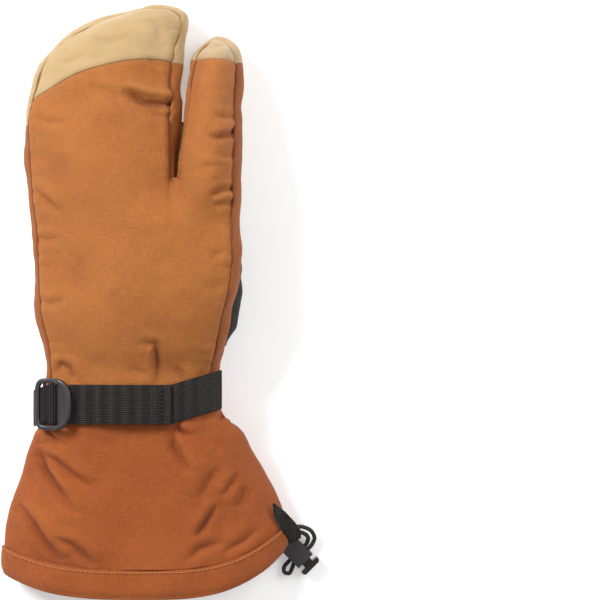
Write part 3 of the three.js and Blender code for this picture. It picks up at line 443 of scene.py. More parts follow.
def plastic(name, color, roughness):
    """Injection-moulded acetal: smooth with a faint spark-eroded texture."""
    made, tree, shader = material(name, color, roughness)
    spot = add(tree, "ShaderNodeTexCoord").outputs["Object"]
    grain = add(tree, "ShaderNodeTexNoise", Vector=spot, Scale=1 / (0.5 * MM), Detail=2.0).outputs["Fac"]
    bump(tree, shader, [(grain, 0.02)])
    return made


def braid(name, color, light):
    """Elastic cord's braided cover: dull, with small raised diamonds about 0.9 mm apart."""
    made, tree, shader = material(name, color, 0.65, Specular_IOR_Level=0.4)
    spot = add(tree, "ShaderNodeTexCoord").outputs["Object"]
    diamonds = add(tree, "ShaderNodeTexVoronoi", Vector=spot, Scale=1 / (0.9 * MM)).outputs["Distance"]
    tree.links.new(mottle(tree, spot, 0.7, 0.35, 0.7, (color, light), 2.0), shader.inputs["Base Color"])
    bump(tree, shader, [(diamonds, 0.15)])
    return made


# The last two colours of each cloth and leather are painted shade for its creases and a paler colour for its
# ridges, partly wear and partly painted highlight
SHELL = duck_cloth("orange_brown_cotton_duck", ("#a46022", "#9a561f", "#af6b2d"), "#73330e", "#b47434")
# Painted shade: a darker copy of the shell's cloth for the outer side strips, which face sideways
SHADED_SIDE_SHELL = duck_cloth("shaded_side_cotton_duck", ("#97501b", "#8d4617", "#9f5c23"), "#682b0a", "#aa652a")
CUFF_SHELL = duck_cloth("gauntlet_cotton_duck", ("#9a4a11", "#91410f", "#a65818"), "#662706", "#b0611c")
LEATHER = suede("tan_split_leather", ("#b29569", "#a88a5d", "#bba47d"), "#735732", "#c0af8a")
PALE_LEATHER = suede("pale_split_leather", ("#b29871", "#a88b64", "#b9a381"), "#765938", "#bfad8e")
KNIT = fleece("black_fleece", "#1c1918", "#2b2725")
STRAP = ribbed_webbing("black_nylon_webbing", "#2b2422", "#453d3a")
TAB = ribbed_webbing("dark_grey_webbing", "#302e2c", "#4a4643", "Object")
PLASTIC = plastic("black_acetal", "#1a1615", 0.3)
LIP_PLASTIC = plastic("dark_grey_acetal", "#332f33", 0.32)
CORD = braid("black_elastic_braid", "#24201e", "#342f2c")
# Spun polyester threads, with a faint sheen, and the cloth and leather folded round the seams' filling,
# coloured darker than the panels as painted shade in the seams' grooves
THREAD, _, _ = material("brown_thread", "#743b17", 0.7, Sheen_Weight=0.3)
RUST_THREAD, _, _ = material("rust_thread", "#b3702f", 0.7, Sheen_Weight=0.3)
PALE_THREAD, _, _ = material("tan_thread", "#af8552", 0.7, Sheen_Weight=0.3)
DARK_THREAD, _, _ = material("black_thread", "#221f1e", 0.6)
SEAM_SHADE_CLOTH, _, _ = material("shaded_folded_seam_cloth", "#7a4019", 0.85)
SEAM_SHADE_LEATHER, _, _ = material("shaded_folded_seam_leather", "#96703f", 0.85)

# Noise and creases

SHARPNESS = 0.78  # how wide the creases are drawn, as a share of the tables' widths


def waves(x, y, size, seed, count=14):
    """Smooth seeded noise from -1 to 1 or so: sine waves of about one size in mm in random directions."""
    rng = np.random.default_rng(seed)
    turn = rng.uniform(0, 2 * np.pi, count)
    pace = 2 * np.pi / (size * rng.uniform(0.7, 1.5, count))
    phase = rng.uniform(0, 2 * np.pi, count)
    total = sum(np.sin(k * (np.cos(a) * x + np.sin(a) * y) + f) for k, a, f in zip(pace, turn, phase))
    return total / np.sqrt(count)


def crease(x, y, points, depth, width, lean=0.0):
    """Height of a crease in mm along a route: a sharp valley with a swollen lip on both sides.

    It fades at its ends. lean lifts the route's left side and lowers its right one, as a share of the depth.
    """
    p = np.asarray(points, float)
    steps = np.linalg.norm(np.diff(p, axis=0), axis=1)
    reach = np.concatenate([[0], np.cumsum(steps)])
    best = np.full(x.shape, FAR)
    side = np.zeros(x.shape)
    along = np.zeros(x.shape)
    for k, step in enumerate(steps):
        d = (p[k + 1] - p[k]) / step
        t = np.clip((x - p[k, 0]) * d[0] + (y - p[k, 1]) * d[1], 0, step)
        ox, oy = x - p[k, 0] - t * d[0], y - p[k, 1] - t * d[1]
        gone = np.hypot(ox, oy)
        near = gone < best
        best = np.where(near, gone, best)
        side = np.where(near, np.sign(d[0] * oy - d[1] * ox), side)
        along = np.where(near, (reach[k] + t) / reach[-1], along)
    fade = np.clip(np.sin(np.pi * np.clip(along, 0.001, 0.999)), 0, 1) ** 0.6
    valley = -np.exp(-(np.sqrt(best**2 + (0.35 * width) ** 2) - 0.35 * width) / (0.8 * width))
    lips = 0.45 * np.exp(-(((best - 2.4 * width) / (1.6 * width)) ** 2))
    tilt = lean * side * (1 - np.exp(-((best / width) ** 2))) * np.exp(-((best / (3.5 * width)) ** 2))
    return depth * fade * (valley + lips + tilt)


def creases(x, y, rows, to_layout=photo):
    """Sum of the creases in a table of (points, depth, width, lean), points in the photograph's pixels."""
    return sum(crease(x, y, to_layout(p), depth, SHARPNESS * width, lean) for p, depth, width, lean in rows)


# Creases of the back of the hand, read off the photograph: points in pixels, depth and width in mm, lean
BACK_CREASES = [
    ([(126, 94), (150, 103), (166, 106), (184, 105)], 4.0, 2.6, 0.7),
    ([(148, 112), (166, 117), (180, 119)], 1.2, 2.4, 0.3),
    ([(92, 88), (112, 96), (128, 108)], 0.9, 3.0, 0.2),
    ([(34, 118), (50, 124), (72, 126)], 0.8, 2.6, 0.2),
    ([(240, 128), (232, 137), (220, 141), (210, 139)], 2.2, 2.0, -0.4),
    ([(238, 118), (228, 121), (214, 120)], 1.1, 2.0, 0.2),
    ([(237, 190), (225, 193), (213, 200)], 2.0, 2.0, 0.4),
    ([(236, 203), (226, 205), (216, 209)], 0.9, 2.0, 0.2),
    ([(198, 172), (212, 170), (228, 168)], 0.8, 2.4, 0.2),
    ([(236, 158), (226, 160), (216, 158)], 0.9, 2.2, 0.2),
    ([(34, 190), (46, 198), (64, 214)], 1.7, 2.4, 0.4),
    ([(36, 238), (48, 241), (62, 240)], 0.9, 2.6, 0.2),
    ([(38, 300), (52, 304), (70, 301)], 1.0, 2.8, 0.2),
    ([(141, 343), (158, 345), (159, 362), (161, 384)], 1.6, 2.4, -0.4),
    ([(58, 372), (64, 364), (72, 368), (76, 380)], 1.4, 2.2, 0.4),
    ([(178, 366), (184, 375), (190, 385)], 1.1, 2.6, 0.3),
    ([(204, 350), (206, 366), (204, 380)], 0.7, 2.8, -0.3),
    ([(132, 366), (142, 372), (150, 374)], 0.8, 2.6, 0.3),
    ([(230, 282), (218, 288), (206, 287)], 0.6, 3.0, 0.3),
    ([(232, 250), (222, 254), (212, 262)], 0.6, 2.8, 0.3),
]
CAP_CREASES = [
    ([(149, 61), (158, 66), (171, 71)], 1.2, 1.8, 0.3),
    ([(96, 38), (112, 44), (130, 44)], 0.9, 3.0, 0.2),
    ([(150, 20), (160, 30), (164, 44)], 0.9, 3.0, 0.2),
    ([(58, 66), (74, 64), (88, 56)], 0.7, 2.6, 0.2),
    ([(204, 48), (214, 50), (226, 48)], 0.6, 2.2, 0.2),
]
CUFF_CREASES = [
    ([(36, 449), (59, 460), (75, 473), (92, 486)], 2.2, 2.8, 0.5),
    ([(39, 452), (49, 471), (61, 486), (79, 512)], 2.9, 2.8, 0.6),
    ([(20, 504), (35, 521), (48, 540), (65, 559)], 3.1, 2.9, 0.6),
    ([(57, 536), (75, 543), (88, 554), (98, 563)], 2.0, 2.8, 0.4),
    ([(218, 502), (207, 519), (197, 535)], 1.7, 2.2, -0.5),
    ([(238, 472), (229, 484), (222, 496)], 1.4, 2.4, -0.4),
    ([(220, 465), (210, 480), (200, 500)], 1.5, 4.6, -0.5),
    ([(174, 424), (176, 446), (190, 472)], 2.4, 2.8, 0.5),
    ([(177, 423), (182, 429), (190, 436)], 2.6, 2.4, 0.4),
    ([(186, 560), (201, 547), (224, 539)], 1.4, 2.8, -0.3),
    ([(223, 551), (244, 540), (259, 528)], 1.3, 2.8, -0.3),
    ([(48, 425), (53, 434), (62, 441)], 1.9, 2.2, 0.3),
    ([(35, 445), (52, 441), (72, 445)], 0.9, 3.0, 0.3),
    ([(225, 410), (224, 415), (221, 421)], 1.6, 2.0, 0.3),
    ([(245, 486), (242, 498), (238, 508)], 1.3, 4.0, -0.4),
    ([(206, 424), (212, 438), (222, 450)], 1.1, 3.4, 0.3),
    ([(96, 424), (100, 436), (110, 448)], 0.8, 3.4, 0.3),
]

# Creases under the hand, in layout mm seen from above: points, depth and width in mm, lean
PALM_CREASES = [
    ([(-50, 62), (-30, 66), (-6, 62)], 1.5, 2.8, 0.3),
    ([(-52, 84), (-28, 90), (2, 86)], 1.8, 3.2, 0.4),
    ([(-44, 104), (-20, 108), (12, 104)], 1.2, 3.0, 0.3),
    ([(-54, 40), (-38, 46), (-24, 42)], 1.2, 2.6, 0.3),
    ([(-40, 130), (-14, 136), (14, 132)], 1.3, 3.0, 0.3),
    ([(-52, 156), (-26, 162), (8, 158)], 1.2, 3.0, 0.3),
    ([(-44, 184), (-24, 190), (6, 186)], 0.9, 3.0, 0.3),
    ([(-12, 36), (-18, 52), (-14, 70)], 1.4, 2.8, 0.4),
    ([(34, 150), (46, 154), (60, 150)], 0.9, 2.4, 0.3),
    ([(32, 178), (46, 182), (58, 178)], 0.8, 2.4, 0.3),
]

# Surfaces


def mix(a, b, t):
    """Straight mix from a to b."""
    return a + (b - a) * t


def read(rows, name, along, spread=0.035):
    """A column of a table at shares along it, rounded off at the rows by a short average."""
    near = [np.clip(along + d, 0, 1) for d in np.linspace(-spread, spread, 5)]
    return sum(np.interp(share, rows["along"], rows[name]) for share in near) / len(near)


def pillow(s):
    """Rounded rise between two edges: 0 at s 0 and 1, 1 in the middle."""
    return 1 - np.abs(2 * s - 1) ** 2.6


def spaced(count):
    """Shares from 0 to 1, closer together near both ends."""
    s = np.linspace(0, 1, count + 1)
    return mix(s, 0.5 - 0.5 * np.cos(np.pi * s), 0.5)


def mid_height(x, y, length=FINGERS_LENGTH):
    """Middle height of the hand at points, falling to the tips beyond the slit."""
    along = np.minimum(y / PALM_LENGTH, 1)
    left = read(HAND, "left", along) * PALM_WIDTH
    right = read(HAND, "right", along) * PALM_WIDTH
    low = read(HAND, "pinky", along) * PINKY_LIFT
    high = read(HAND, "thumb", along) * THUMB_SIDE_LIFT
    base = mix(low, high, np.clip((x - left) / (right - left), 0, 1))
    curl = np.maximum((y - PALM_LENGTH) / length, 0) ** 1.9
    return mix(base, TIP_LIFT, np.minimum(curl, 1))


def station(x, y, nx, ny, inset, half, length=FINGERS_LENGTH):
    """A function from q, 1 at the upper seam and -1 at the lower, to points of a side strip's rows."""
    mid = mid_height(x - nx * inset, y, length)

    def at(q):
        """Points at q: the strip draws in by its inset towards both seams."""
        return np.stack([x - nx * inset * q * q, y - ny * inset * q * q, mid + half * q], -1)

    return at


def walk(p, axis):
    """Distance walked along an axis of a grid, or along a line, from its start, in mm."""
    steps = np.linalg.norm(np.diff(p, axis=axis), axis=-1)
    reach = np.cumsum(steps, axis=axis)
    first = np.zeros_like(np.take(reach, [0], axis=axis))
    return np.concatenate([first, reach], axis=axis)


def read_at(line, reach, at):
    """Rows of a line, whose distances walked are reach, at other distances."""
    return np.stack([np.interp(at, reach, column) for column in line.T], 1)


def smooth_curve(points, count=3000):
    """Catmull-Rom curve through points: places, tangents and total length, evenly spaced by arc length."""
    p = np.asarray(points, float)
    padded = np.concatenate([p[:1], p, p[-1:]])
    u = np.linspace(0, len(p) - 1 - 1e-9, count)
    k = u.astype(int)
    t = (u - k)[:, None]
    a, b, c, d = (padded[k + i] for i in range(4))
    line = 0.5 * (2 * b + (c - a) * t + (2 * a - 5 * b + 4 * c - d) * t**2 + (3 * b - a - 3 * c + d) * t**3)
    reach = walk(line, 0)
    line = read_at(line, reach, np.linspace(0, reach[-1], count))
    tangent = np.gradient(line, axis=0)
    return line, tangent / np.linalg.norm(tangent, axis=1)[:, None], reach[-1]


SLIT_WIDENING = 34.0  # length over which the strips along the slit widen from its end, in mm

# Cells of the grids: along the hand and a compartment, and across the blocks, the slit and a side strip
HAND_ROWS = 110
BLOCK_ROWS = 120
FINGER_COLUMNS = 110
INDEX_COLUMNS = 56
SLIT_COLUMNS = 8
STRIP_COLUMNS = 18
HOLLOW = 0.45  # share of the palm's width where its bulging heel gives way to the hollow by the thumb


class Compartment:
    """One compartment beyond the slit: side stations for rows from the slit, 0, to the tip, TIP_ROW."""

    def __init__(self, outline, length, caps, insets, slit):
        """caps are both sides' shares below their leather, and slit is the side that borders the slit."""
        across, along = outline["across"], outline["along"]
        points = np.stack([across * PALM_WIDTH, PALM_LENGTH + along * length], 1)
        self.line, self.tangent, self.total = smooth_curve(points)
        self.apex = np.argmax(self.line[:, 1]) / (len(self.line) - 1)
        self.caps, self.insets, self.slit, self.length = caps, insets, slit, length

    def side(self, rows, which):
        """The station function of one side for these rows."""
        past = (rows - CAP_ROW) / (TIP_ROW - CAP_ROW)
        cap = self.caps[which]
        share = np.where(rows <= CAP_ROW, cap * rows / CAP_ROW, mix(cap, 0.995, past))
        u = self.apex * share if which == 0 else 1 - (1 - self.apex) * share
        places = np.arange(len(self.line))
        k = u * places[-1]
        p, t = read_at(self.line, places, k), read_at(self.tangent, places, k)
        half = mix(1, 0.85, rows / TIP_ROW) * SIDE_HEIGHT / 2
        inset = self.insets[which]
        settled = np.full(rows.shape, inset)
        if self.slit == which:
            walked = np.minimum(u, 1 - u) * self.total
            narrowed = mix(inset, min(inset, LEFT_INSET), np.clip(past * 2, 0, 1))
            settled = mix(SLIT_SEAM, narrowed, np.minimum(walked / SLIT_WIDENING, 1))
        return station(p[:, 0], p[:, 1], -t[:, 1], t[:, 0], settled, half, self.length)


FINGERS = Compartment(FINGERS_OUTLINE, FINGERS_LENGTH, (0.32, 0.57), (LEFT_INSET, SLIT_INSET), 1)
INDEX = Compartment(INDEX_OUTLINE, INDEX_LENGTH, (0.76, 0.74), (INDEX_INSET, RIGHT_INSET), 0)


def hand_side(along, which):
    """The station function of one side of the hand below the slit, for shares of its length."""
    half = read(HAND, "side", along) * SIDE_HEIGHT / 2
    name, sign, inset = (("left", -1, LEFT_INSET), ("right", 1, RIGHT_INSET))[which]
    x = read(HAND, name, along) * PALM_WIDTH
    return station(x, along * PALM_LENGTH, sign, 0, inset, half)


def compartment_block(part, rows, columns, up, bow):
    """Grid over a compartment's back, up 1, or under its palm side, up -1; its rows bow towards the tip."""
    a, b = part.side(rows, 0)(up), part.side(rows, 1)(up)
    s = spaced(columns)
    fade = np.sqrt(1 - (1 - np.clip((TIP_ROW - rows) / (TIP_ROW * 0.45), 0, 1)) ** 2)
    swell = np.full(rows.shape, CROWN_HEIGHT) if up > 0 else -BELLY_DEPTH * mix(0.55, 0.8, rows / TIP_ROW)
    bend = bow * np.minimum(rows / CAP_ROW, (1 - np.clip((rows - CAP_ROW) / CAP_ROW, 0, 1)) ** 2)
    p = a[:, None] + (b - a)[:, None] * s[None, :, None]
    p[..., 1] += bend[:, None] * 4 * s * (1 - s)
    p[..., 2] += (swell * fade)[:, None] * pillow(s)
    return p


def hand_block(along, start, end, columns, up, domed=True):
    """Grid of the hand below the slit between two x places: one wide rise that parts into two at the slit.

    up is 1 for the back and -1 for the palm side, and a block that isn't domed is the floor of the groove.
    """
    a, b = hand_side(along, 0)(up), hand_side(along, 1)(up)
    part = np.clip((along * PALM_LENGTH - PALM_LENGTH + GROOVE_LENGTH) / GROOVE_LENGTH, 0, 1)
    part = (part * part * (3 - 2 * part))[:, None]
    half = (read(HAND, "side", along) * SIDE_HEIGHT / 2)[:, None]
    crown = (read(HAND, "crown", along) * CROWN_HEIGHT)[:, None]
    belly = (read(HAND, "belly", along) * BELLY_DEPTH)[:, None]
    s = spaced(columns) if domed else np.linspace(0, 1, columns + 1)
    x0 = a[:, 0] if start is None else np.full(along.shape, start)
    x1 = b[:, 0] if end is None else np.full(along.shape, end)
    x = x0[:, None] + (x1 - x0)[:, None] * s
    over = (x - a[:, :1]) / (b[:, :1] - a[:, :1])
    if up > 0:
        whole = crown * pillow(over)
    else:
        low = -belly * np.sin(np.pi * over / HOLLOW) ** 2
        high = 0.25 * belly * np.sin(np.pi * (over - HOLLOW) / (1 - HOLLOW)) ** 2
        whole = np.where(over < HOLLOW, low, high)
    one = mix(a[:, 2:], b[:, 2:], over) + whole
    y = np.broadcast_to(a[:, 1:2], x.shape)
    rise = pillow(s) if domed else 0
    two = mid_height(x, y) + up * half + (crown if up > 0 else -BELLY_DEPTH * 0.55) * rise
    return np.stack([x, y, mix(one, two, part)], -1)


def sheet_grid(up):
    """The whole grid over the back or under the palm: hand rows, then both compartments side by side."""
    along = np.linspace(0, 1, HAND_ROWS + 1)[:-1]
    rows = np.linspace(0, TIP_ROW, BLOCK_ROWS + 1)
    left_seam = FINGERS.side(rows[:1], 1)(up)[0, 0]
    right_seam = INDEX.side(rows[:1], 0)(up)[0, 0]
    blocks = [
        hand_block(along, None, left_seam, FINGER_COLUMNS, up),
        hand_block(along, left_seam, right_seam, SLIT_COLUMNS, up, False)[:, 1:-1],
        hand_block(along, right_seam, None, INDEX_COLUMNS, up),
    ]
    fingers = compartment_block(FINGERS, rows, FINGER_COLUMNS, up, bow=9)
    index = compartment_block(INDEX, rows, INDEX_COLUMNS, up, bow=1)
    between = np.linspace(0, 1, SLIT_COLUMNS + 1)[1:-1]
    slit = fingers[:, -1:] + (index[:, :1] - fingers[:, -1:]) * between[None, :, None]
    return np.concatenate([np.concatenate(blocks, 1), np.concatenate([fingers, slit, index], 1)])


SLIT_ROW = HAND_ROWS
SEAM_ROW = HAND_ROWS + BLOCK_ROWS * CAP_ROW // TIP_ROW
LEFT_END = FINGER_COLUMNS  # last column of the fingers' block
RIGHT_START = FINGER_COLUMNS + SLIT_COLUMNS  # first column of the index block


def normals(p, sign=1):
    """Unit normals of a grid: the cross product of its row and column steps."""
    n = np.cross(np.gradient(p, axis=1), np.gradient(p, axis=0))
    size = np.linalg.norm(n, axis=-1, keepdims=True)
    return sign * n / np.maximum(size, 1e-9)


def edge_distance(p):
    """Distance along a grid's rows to its first or last column, whichever is nearer, in mm."""
    reach = walk(p, 1)
    return np.minimum(reach, reach[:, -1:] - reach)


def seam_distance(p):
    """Distance to the nearest side seam of a whole grid, in mm, which may be one of the slit's two."""
    edge = edge_distance(p)
    edge[SLIT_ROW:] = FAR
    edge[SLIT_ROW:, : LEFT_END + 1] = edge_distance(p[:, : LEFT_END + 1])[SLIT_ROW:]
    edge[SLIT_ROW:, RIGHT_START:] = edge_distance(p[:, RIGHT_START:])[SLIT_ROW:]
    return edge


def sewn_points(p):
    """Points of a whole grid that are held by its edges and by the slit, and those that lie in the slit."""
    held = np.zeros(p.shape[:2], bool)
    held[:, [0, -1]] = held[[0, -1]] = True
    held[SLIT_ROW:, LEFT_END : RIGHT_START + 1] = True
    in_slit = np.zeros(p.shape[:2], bool)
    in_slit[SLIT_ROW + 1 :, LEFT_END + 1 : RIGHT_START] = True
    return held, in_slit


def tip_fade(p, rows):
    """1 over a whole grid, falling to 0 over its last rows, where it closes at the tips."""
    return np.clip((HAND_ROWS + BLOCK_ROWS - np.arange(p.shape[0])) / rows, 0, 1)[:, None]


def tuck(distance, depth=0.8, width=1.2):
    """A panel's edge rolls in to its seam, behind a slightly swollen shoulder."""
    roll = -depth * np.exp(-((distance / width) ** 2))
    return roll + 0.45 * depth * np.exp(-(((distance - 3.6 * width) / (2.2 * width)) ** 2))


def puckers(distance, along, depth, spacing, seed, reach=6.0):
    """Small gathers beside a seam: sharp folds across it that die away within reach of it."""
    wander = waves(along, distance * 0.3, spacing * 5, seed) * 1.3
    fold = 1 - 2 * np.abs(np.sin(np.pi * along / spacing + wander)) ** 0.7
    strength = 0.6 + 0.4 * waves(along, 0 * along, spacing * 3, seed + 1)
    return -depth * fold * strength * (1 - np.exp(-distance / 1.2)) * np.exp(-distance / reach)


def clear_floor(p):
    """Points no lower than just over the floor, flattened where they rest on it."""
    p[..., 2] = np.maximum(p[..., 2], FLOOR_GAP)
    return p


# Meshes


def mesh_object(name, points, faces, mat, uv=None, relief=None):
    """A mesh piece from layout points in mm, faces, uv by point in mm, and relief by point in mm."""
    mesh = bpy.data.meshes.new(name)
    mesh.from_pydata(in_frame(points).tolist(), [], [list(f) for f in faces])
    if uv is not None:
        layer = mesh.uv_layers.new(name="cloth")
        corners = np.empty(len(mesh.loops), np.int32)
        mesh.loops.foreach_get("vertex_index", corners)
        layer.data.foreach_set("uv", (np.asarray(uv)[corners] * MM).ravel())
    attribute = mesh.attributes.new("relief", "FLOAT", "POINT")
    values = np.zeros(len(points)) if relief is None else np.asarray(relief, float)
    attribute.data.foreach_set("value", values)
    mesh.polygons.foreach_set("use_smooth", [True] * len(mesh.polygons))
    mesh.materials.append(mat)
    made = bpy.data.objects.new(name, mesh)
    bpy.context.collection.objects.link(made)
    return made


def cells(rows, columns):
    """Row and column numbers of a grid's cells."""
    return np.meshgrid(np.arange(rows - 1), np.arange(columns - 1), indexing="ij")


def grid_faces(rows, columns, keep=None, flip=False):
    """Quads of a grid's cells, those that keep names, as an array."""
    i, j = cells(rows, columns)
    if keep is not None:
        i, j = i[keep], j[keep]
    corner = i.ravel() * columns + j.ravel()
    faces = np.stack([corner, corner + 1, corner + columns + 1, corner + columns], 1)
    return faces[:, ::-1] if flip else faces


def grid_object(name, p, mat, relief=None, keep=None, flip=False, thick=SHELL_THICKNESS):
    """A cloth piece from a grid, with its real thickness on the inside."""
    rows, columns = p.shape[:2]
    faces = grid_faces(rows, columns, keep, flip)
    used = np.unique(faces)
    number = np.full(rows * columns, -1)
    number[used] = np.arange(len(used))
    flat_uv = np.stack([walk(p, 1).ravel(), walk(p, 0).ravel()], 1)
    values = None if relief is None else relief.reshape(-1)[used]
    made = mesh_object(name, p.reshape(-1, 3)[used], number[faces], mat, flat_uv[used], values)
    if thick:
        solid = made.modifiers.new("thickness", "SOLIDIFY")
        solid.thickness = thick * MM
        solid.offset = -1
    return made


def rings(p, side, up, radius, sides):
    """Circles round points, in the planes of their side and up directions."""
    angle = np.linspace(0, 2 * np.pi, sides, endpoint=False)[None, :, None]
    return p[:, None] + radius * (side[:, None] * np.cos(angle) + up[:, None] * np.sin(angle))


def tube_faces(count, sides):
    """Faces between rings in a row, with both ends closed."""
    start = np.arange(count - 1)[:, None] * sides
    this = np.arange(sides)
    after = (this + 1) % sides
    quads = np.stack([start + this, start + sides + this, start + sides + after, start + after], -1)
    last = (count - 1) * sides
    return [*quads.reshape(-1, 4).tolist(), this.tolist(), (last + this[::-1]).tolist()]


def flattened(wave, power):
    """A sine or cosine with its sign kept and its size to a power below 1, for ovals with flat sides."""
    return np.sign(wave) * np.abs(wave) ** power


def tube(path, radius, sides):
    """A round tube carried along a path of layout points, as points and faces."""
    p = np.asarray(path, float)
    t = np.gradient(p, axis=0)
    t /= np.maximum(np.linalg.norm(t, axis=1), 1e-9)[:, None]
    side = np.cross(t, np.array([0.1, 0.05, 1.0]))
    side /= np.linalg.norm(side, axis=1)[:, None]
    ring = rings(p, side, np.cross(side, t), radius, sides)
    return ring.reshape(-1, 3), tube_faces(len(p), sides)


def outward(points, faces):
    """The faces of a closed form, turned round where its signed volume is below zero."""
    p = np.asarray(points)
    fans = np.array([(f[0], f[k], f[k + 1]) for f in faces for k in range(1, len(f) - 1)])
    volume = np.einsum("ij,ij->", p[fans[:, 0]], np.cross(p[fans[:, 1]], p[fans[:, 2]]))
    return faces if volume > 0 else [tuple(reversed(f)) for f in faces]


def weld(made):
    """Merges the points of a piece that meet at its seam or pole."""
    mesh = bmesh.new()
    mesh.from_mesh(made.data)
    bmesh.ops.remove_doubles(mesh, verts=mesh.verts, dist=1e-6)
    mesh.to_mesh(made.data)
    mesh.free()
    return made


def joined(name, parts, mat):
    """One piece of several closed (points, faces) parts."""
    points, faces = [], []
    for p, f in parts:
        base = len(points)
        points.extend(p)
        faces.extend(tuple(base + v for v in face) for face in outward(p, f))
    return mesh_object(name, np.array(points), faces, mat)


STITCH_RINGS = 5
STITCH_SIDES = 5
STITCH_LOWEST = 1.0  # height over the floor under which no thread shows, in mm


def stitch_row(route, normal, pitch, share=0.68, radius=0.28, sink=0.05):
    """Stitches along a route of surface points, as (points, faces): short threads that dip in at both ends.

    None is drawn where the cloth lies close to the floor.
    """
    route, normal = np.asarray(route, float), np.asarray(normal, float)
    reach = walk(route, 0)
    count = max(int(reach[-1] / pitch), 1)
    points, faces = [], []
    arch = np.linspace(0, 1, STITCH_RINGS)
    for k in range(count):
        if np.interp((k + 0.5) * reach[-1] / count, reach, route[:, 2]) < STITCH_LOWEST:
            continue
        at = (k + 0.5 - share / 2 + share * arch) * reach[-1] / count
        p, n = read_at(route, reach, at), read_at(normal, reach, at)
        n /= np.linalg.norm(n, axis=1)[:, None]
        t = p[-1] - p[0]
        t /= max(np.linalg.norm(t), 1e-9)
        lift = (radius * (1.6 * np.sin(np.pi * arch) - 0.7) - sink)[:, None]
        ring = rings(p + n * lift, np.cross(n, t), n, radius, STITCH_SIDES)
        base = len(points)
        points.extend(ring.reshape(-1, 3))
        faces.extend([base + v for v in face] for face in tube_faces(STITCH_RINGS, STITCH_SIDES))
    return points, faces


SEAMS = {"brown": [], "tan": []}
STITCHES = {"brown": [], "rust": [], "tan": [], "black": []}


def bind(line, normal, color, radius=1.0, sink=0.4):
    """Keeps a seam's filled ridge, a round cord of cloth sunk between two panels, to be joined later. Its
    darker colour is painted shade in the seam's groove.
    """
    step, window = 1.2, 9
    reach = walk(line, 0)
    at = np.linspace(0, reach[-1], max(int(reach[-1] / step), 4))
    line, normal = read_at(line, reach, at), read_at(normal, reach, at)
    wide = np.pad(normal, ((window // 2, window // 2), (0, 0)), mode="edge")
    normal = np.stack([np.convolve(column, np.ones(window) / window, "valid") for column in wide.T], 1)
    normal /= np.maximum(np.linalg.norm(normal, axis=1), 1e-9)[:, None]
    SEAMS[color].append((line - normal * sink, radius))


def stitch(color, p, n, part, pitch):
    """Keeps a row of stitches along part of a grid, to be joined later."""
    STITCHES[color].append(stitch_row(p[part], n[part], pitch))


def round_tip(grid, columns, start):
    """The edge of a compartment's block from a row up one side, over its tip and down the other side."""
    first, last = columns
    tip = grid[-1, first : last + 1]
    return np.concatenate([grid[start:-1, first], tip, grid[start:-1, last][::-1]])


def place(obj, *nodes):
    """A piece rides the mitt and stands for its CAD nodes, if it has any."""
    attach(obj, "mitt")
    if nodes:
        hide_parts(*nodes)


# Cloth simulation

SETTLING_FRAMES = 20
TRIAL_STEP = 3  # rows and columns of the grid between the simulated points


def settled(points, faces, held, growth, pressure):
    """Where the points of a mesh of cloth, in metres, come to rest with the held ones pinned."""
    mesh = bpy.data.meshes.new("cloth_trial")
    mesh.from_pydata(points.tolist(), [], faces.tolist())
    trial = bpy.data.objects.new("cloth_trial", mesh)
    bpy.context.collection.objects.link(trial)
    group = trial.vertex_groups.new(name="held")
    group.add(np.flatnonzero(held).tolist(), 1.0, "REPLACE")
    cloth = trial.modifiers.new("cloth", "CLOTH")
    setting = cloth.settings
    setting.quality = 6
    setting.mass = 0.25
    setting.tension_stiffness = 12
    setting.compression_stiffness = 12
    setting.shear_stiffness = 5
    setting.bending_stiffness = 0.3
    setting.vertex_group_mass = "held"
    setting.shrink_min = -growth
    setting.use_pressure = True
    setting.uniform_pressure_force = pressure
    setting.effector_weights.gravity = 0
    cloth.collision_settings.use_collision = False
    cloth.point_cache.frame_end = SETTLING_FRAMES
    scene = bpy.context.scene
    for number in range(1, SETTLING_FRAMES + 1):
        scene.frame_set(number)
    shown = trial.evaluated_get(bpy.context.evaluated_depsgraph_get())
    moved = np.empty(len(points) * 3, np.float32)
    shown.data.vertices.foreach_get("co", moved)
    bpy.data.objects.remove(trial)
    bpy.data.meshes.remove(mesh)
    scene.frame_set(1)
    return moved.reshape(-1, 3)


def picked(count):
    """Numbers of the rows or columns that are simulated, out of count, with the last."""
    return np.unique(np.append(np.arange(0, count, TRIAL_STEP), count - 1))


def filled_in(values, places, count):
    """Values known at some places along the first axis, mixed straight between them to all of its places."""
    every = np.arange(count)
    flat = values.reshape(len(places), -1)
    whole = np.stack([np.interp(every, places, column) for column in flat.T], 1)
    return whole.reshape(count, *values.shape[1:])


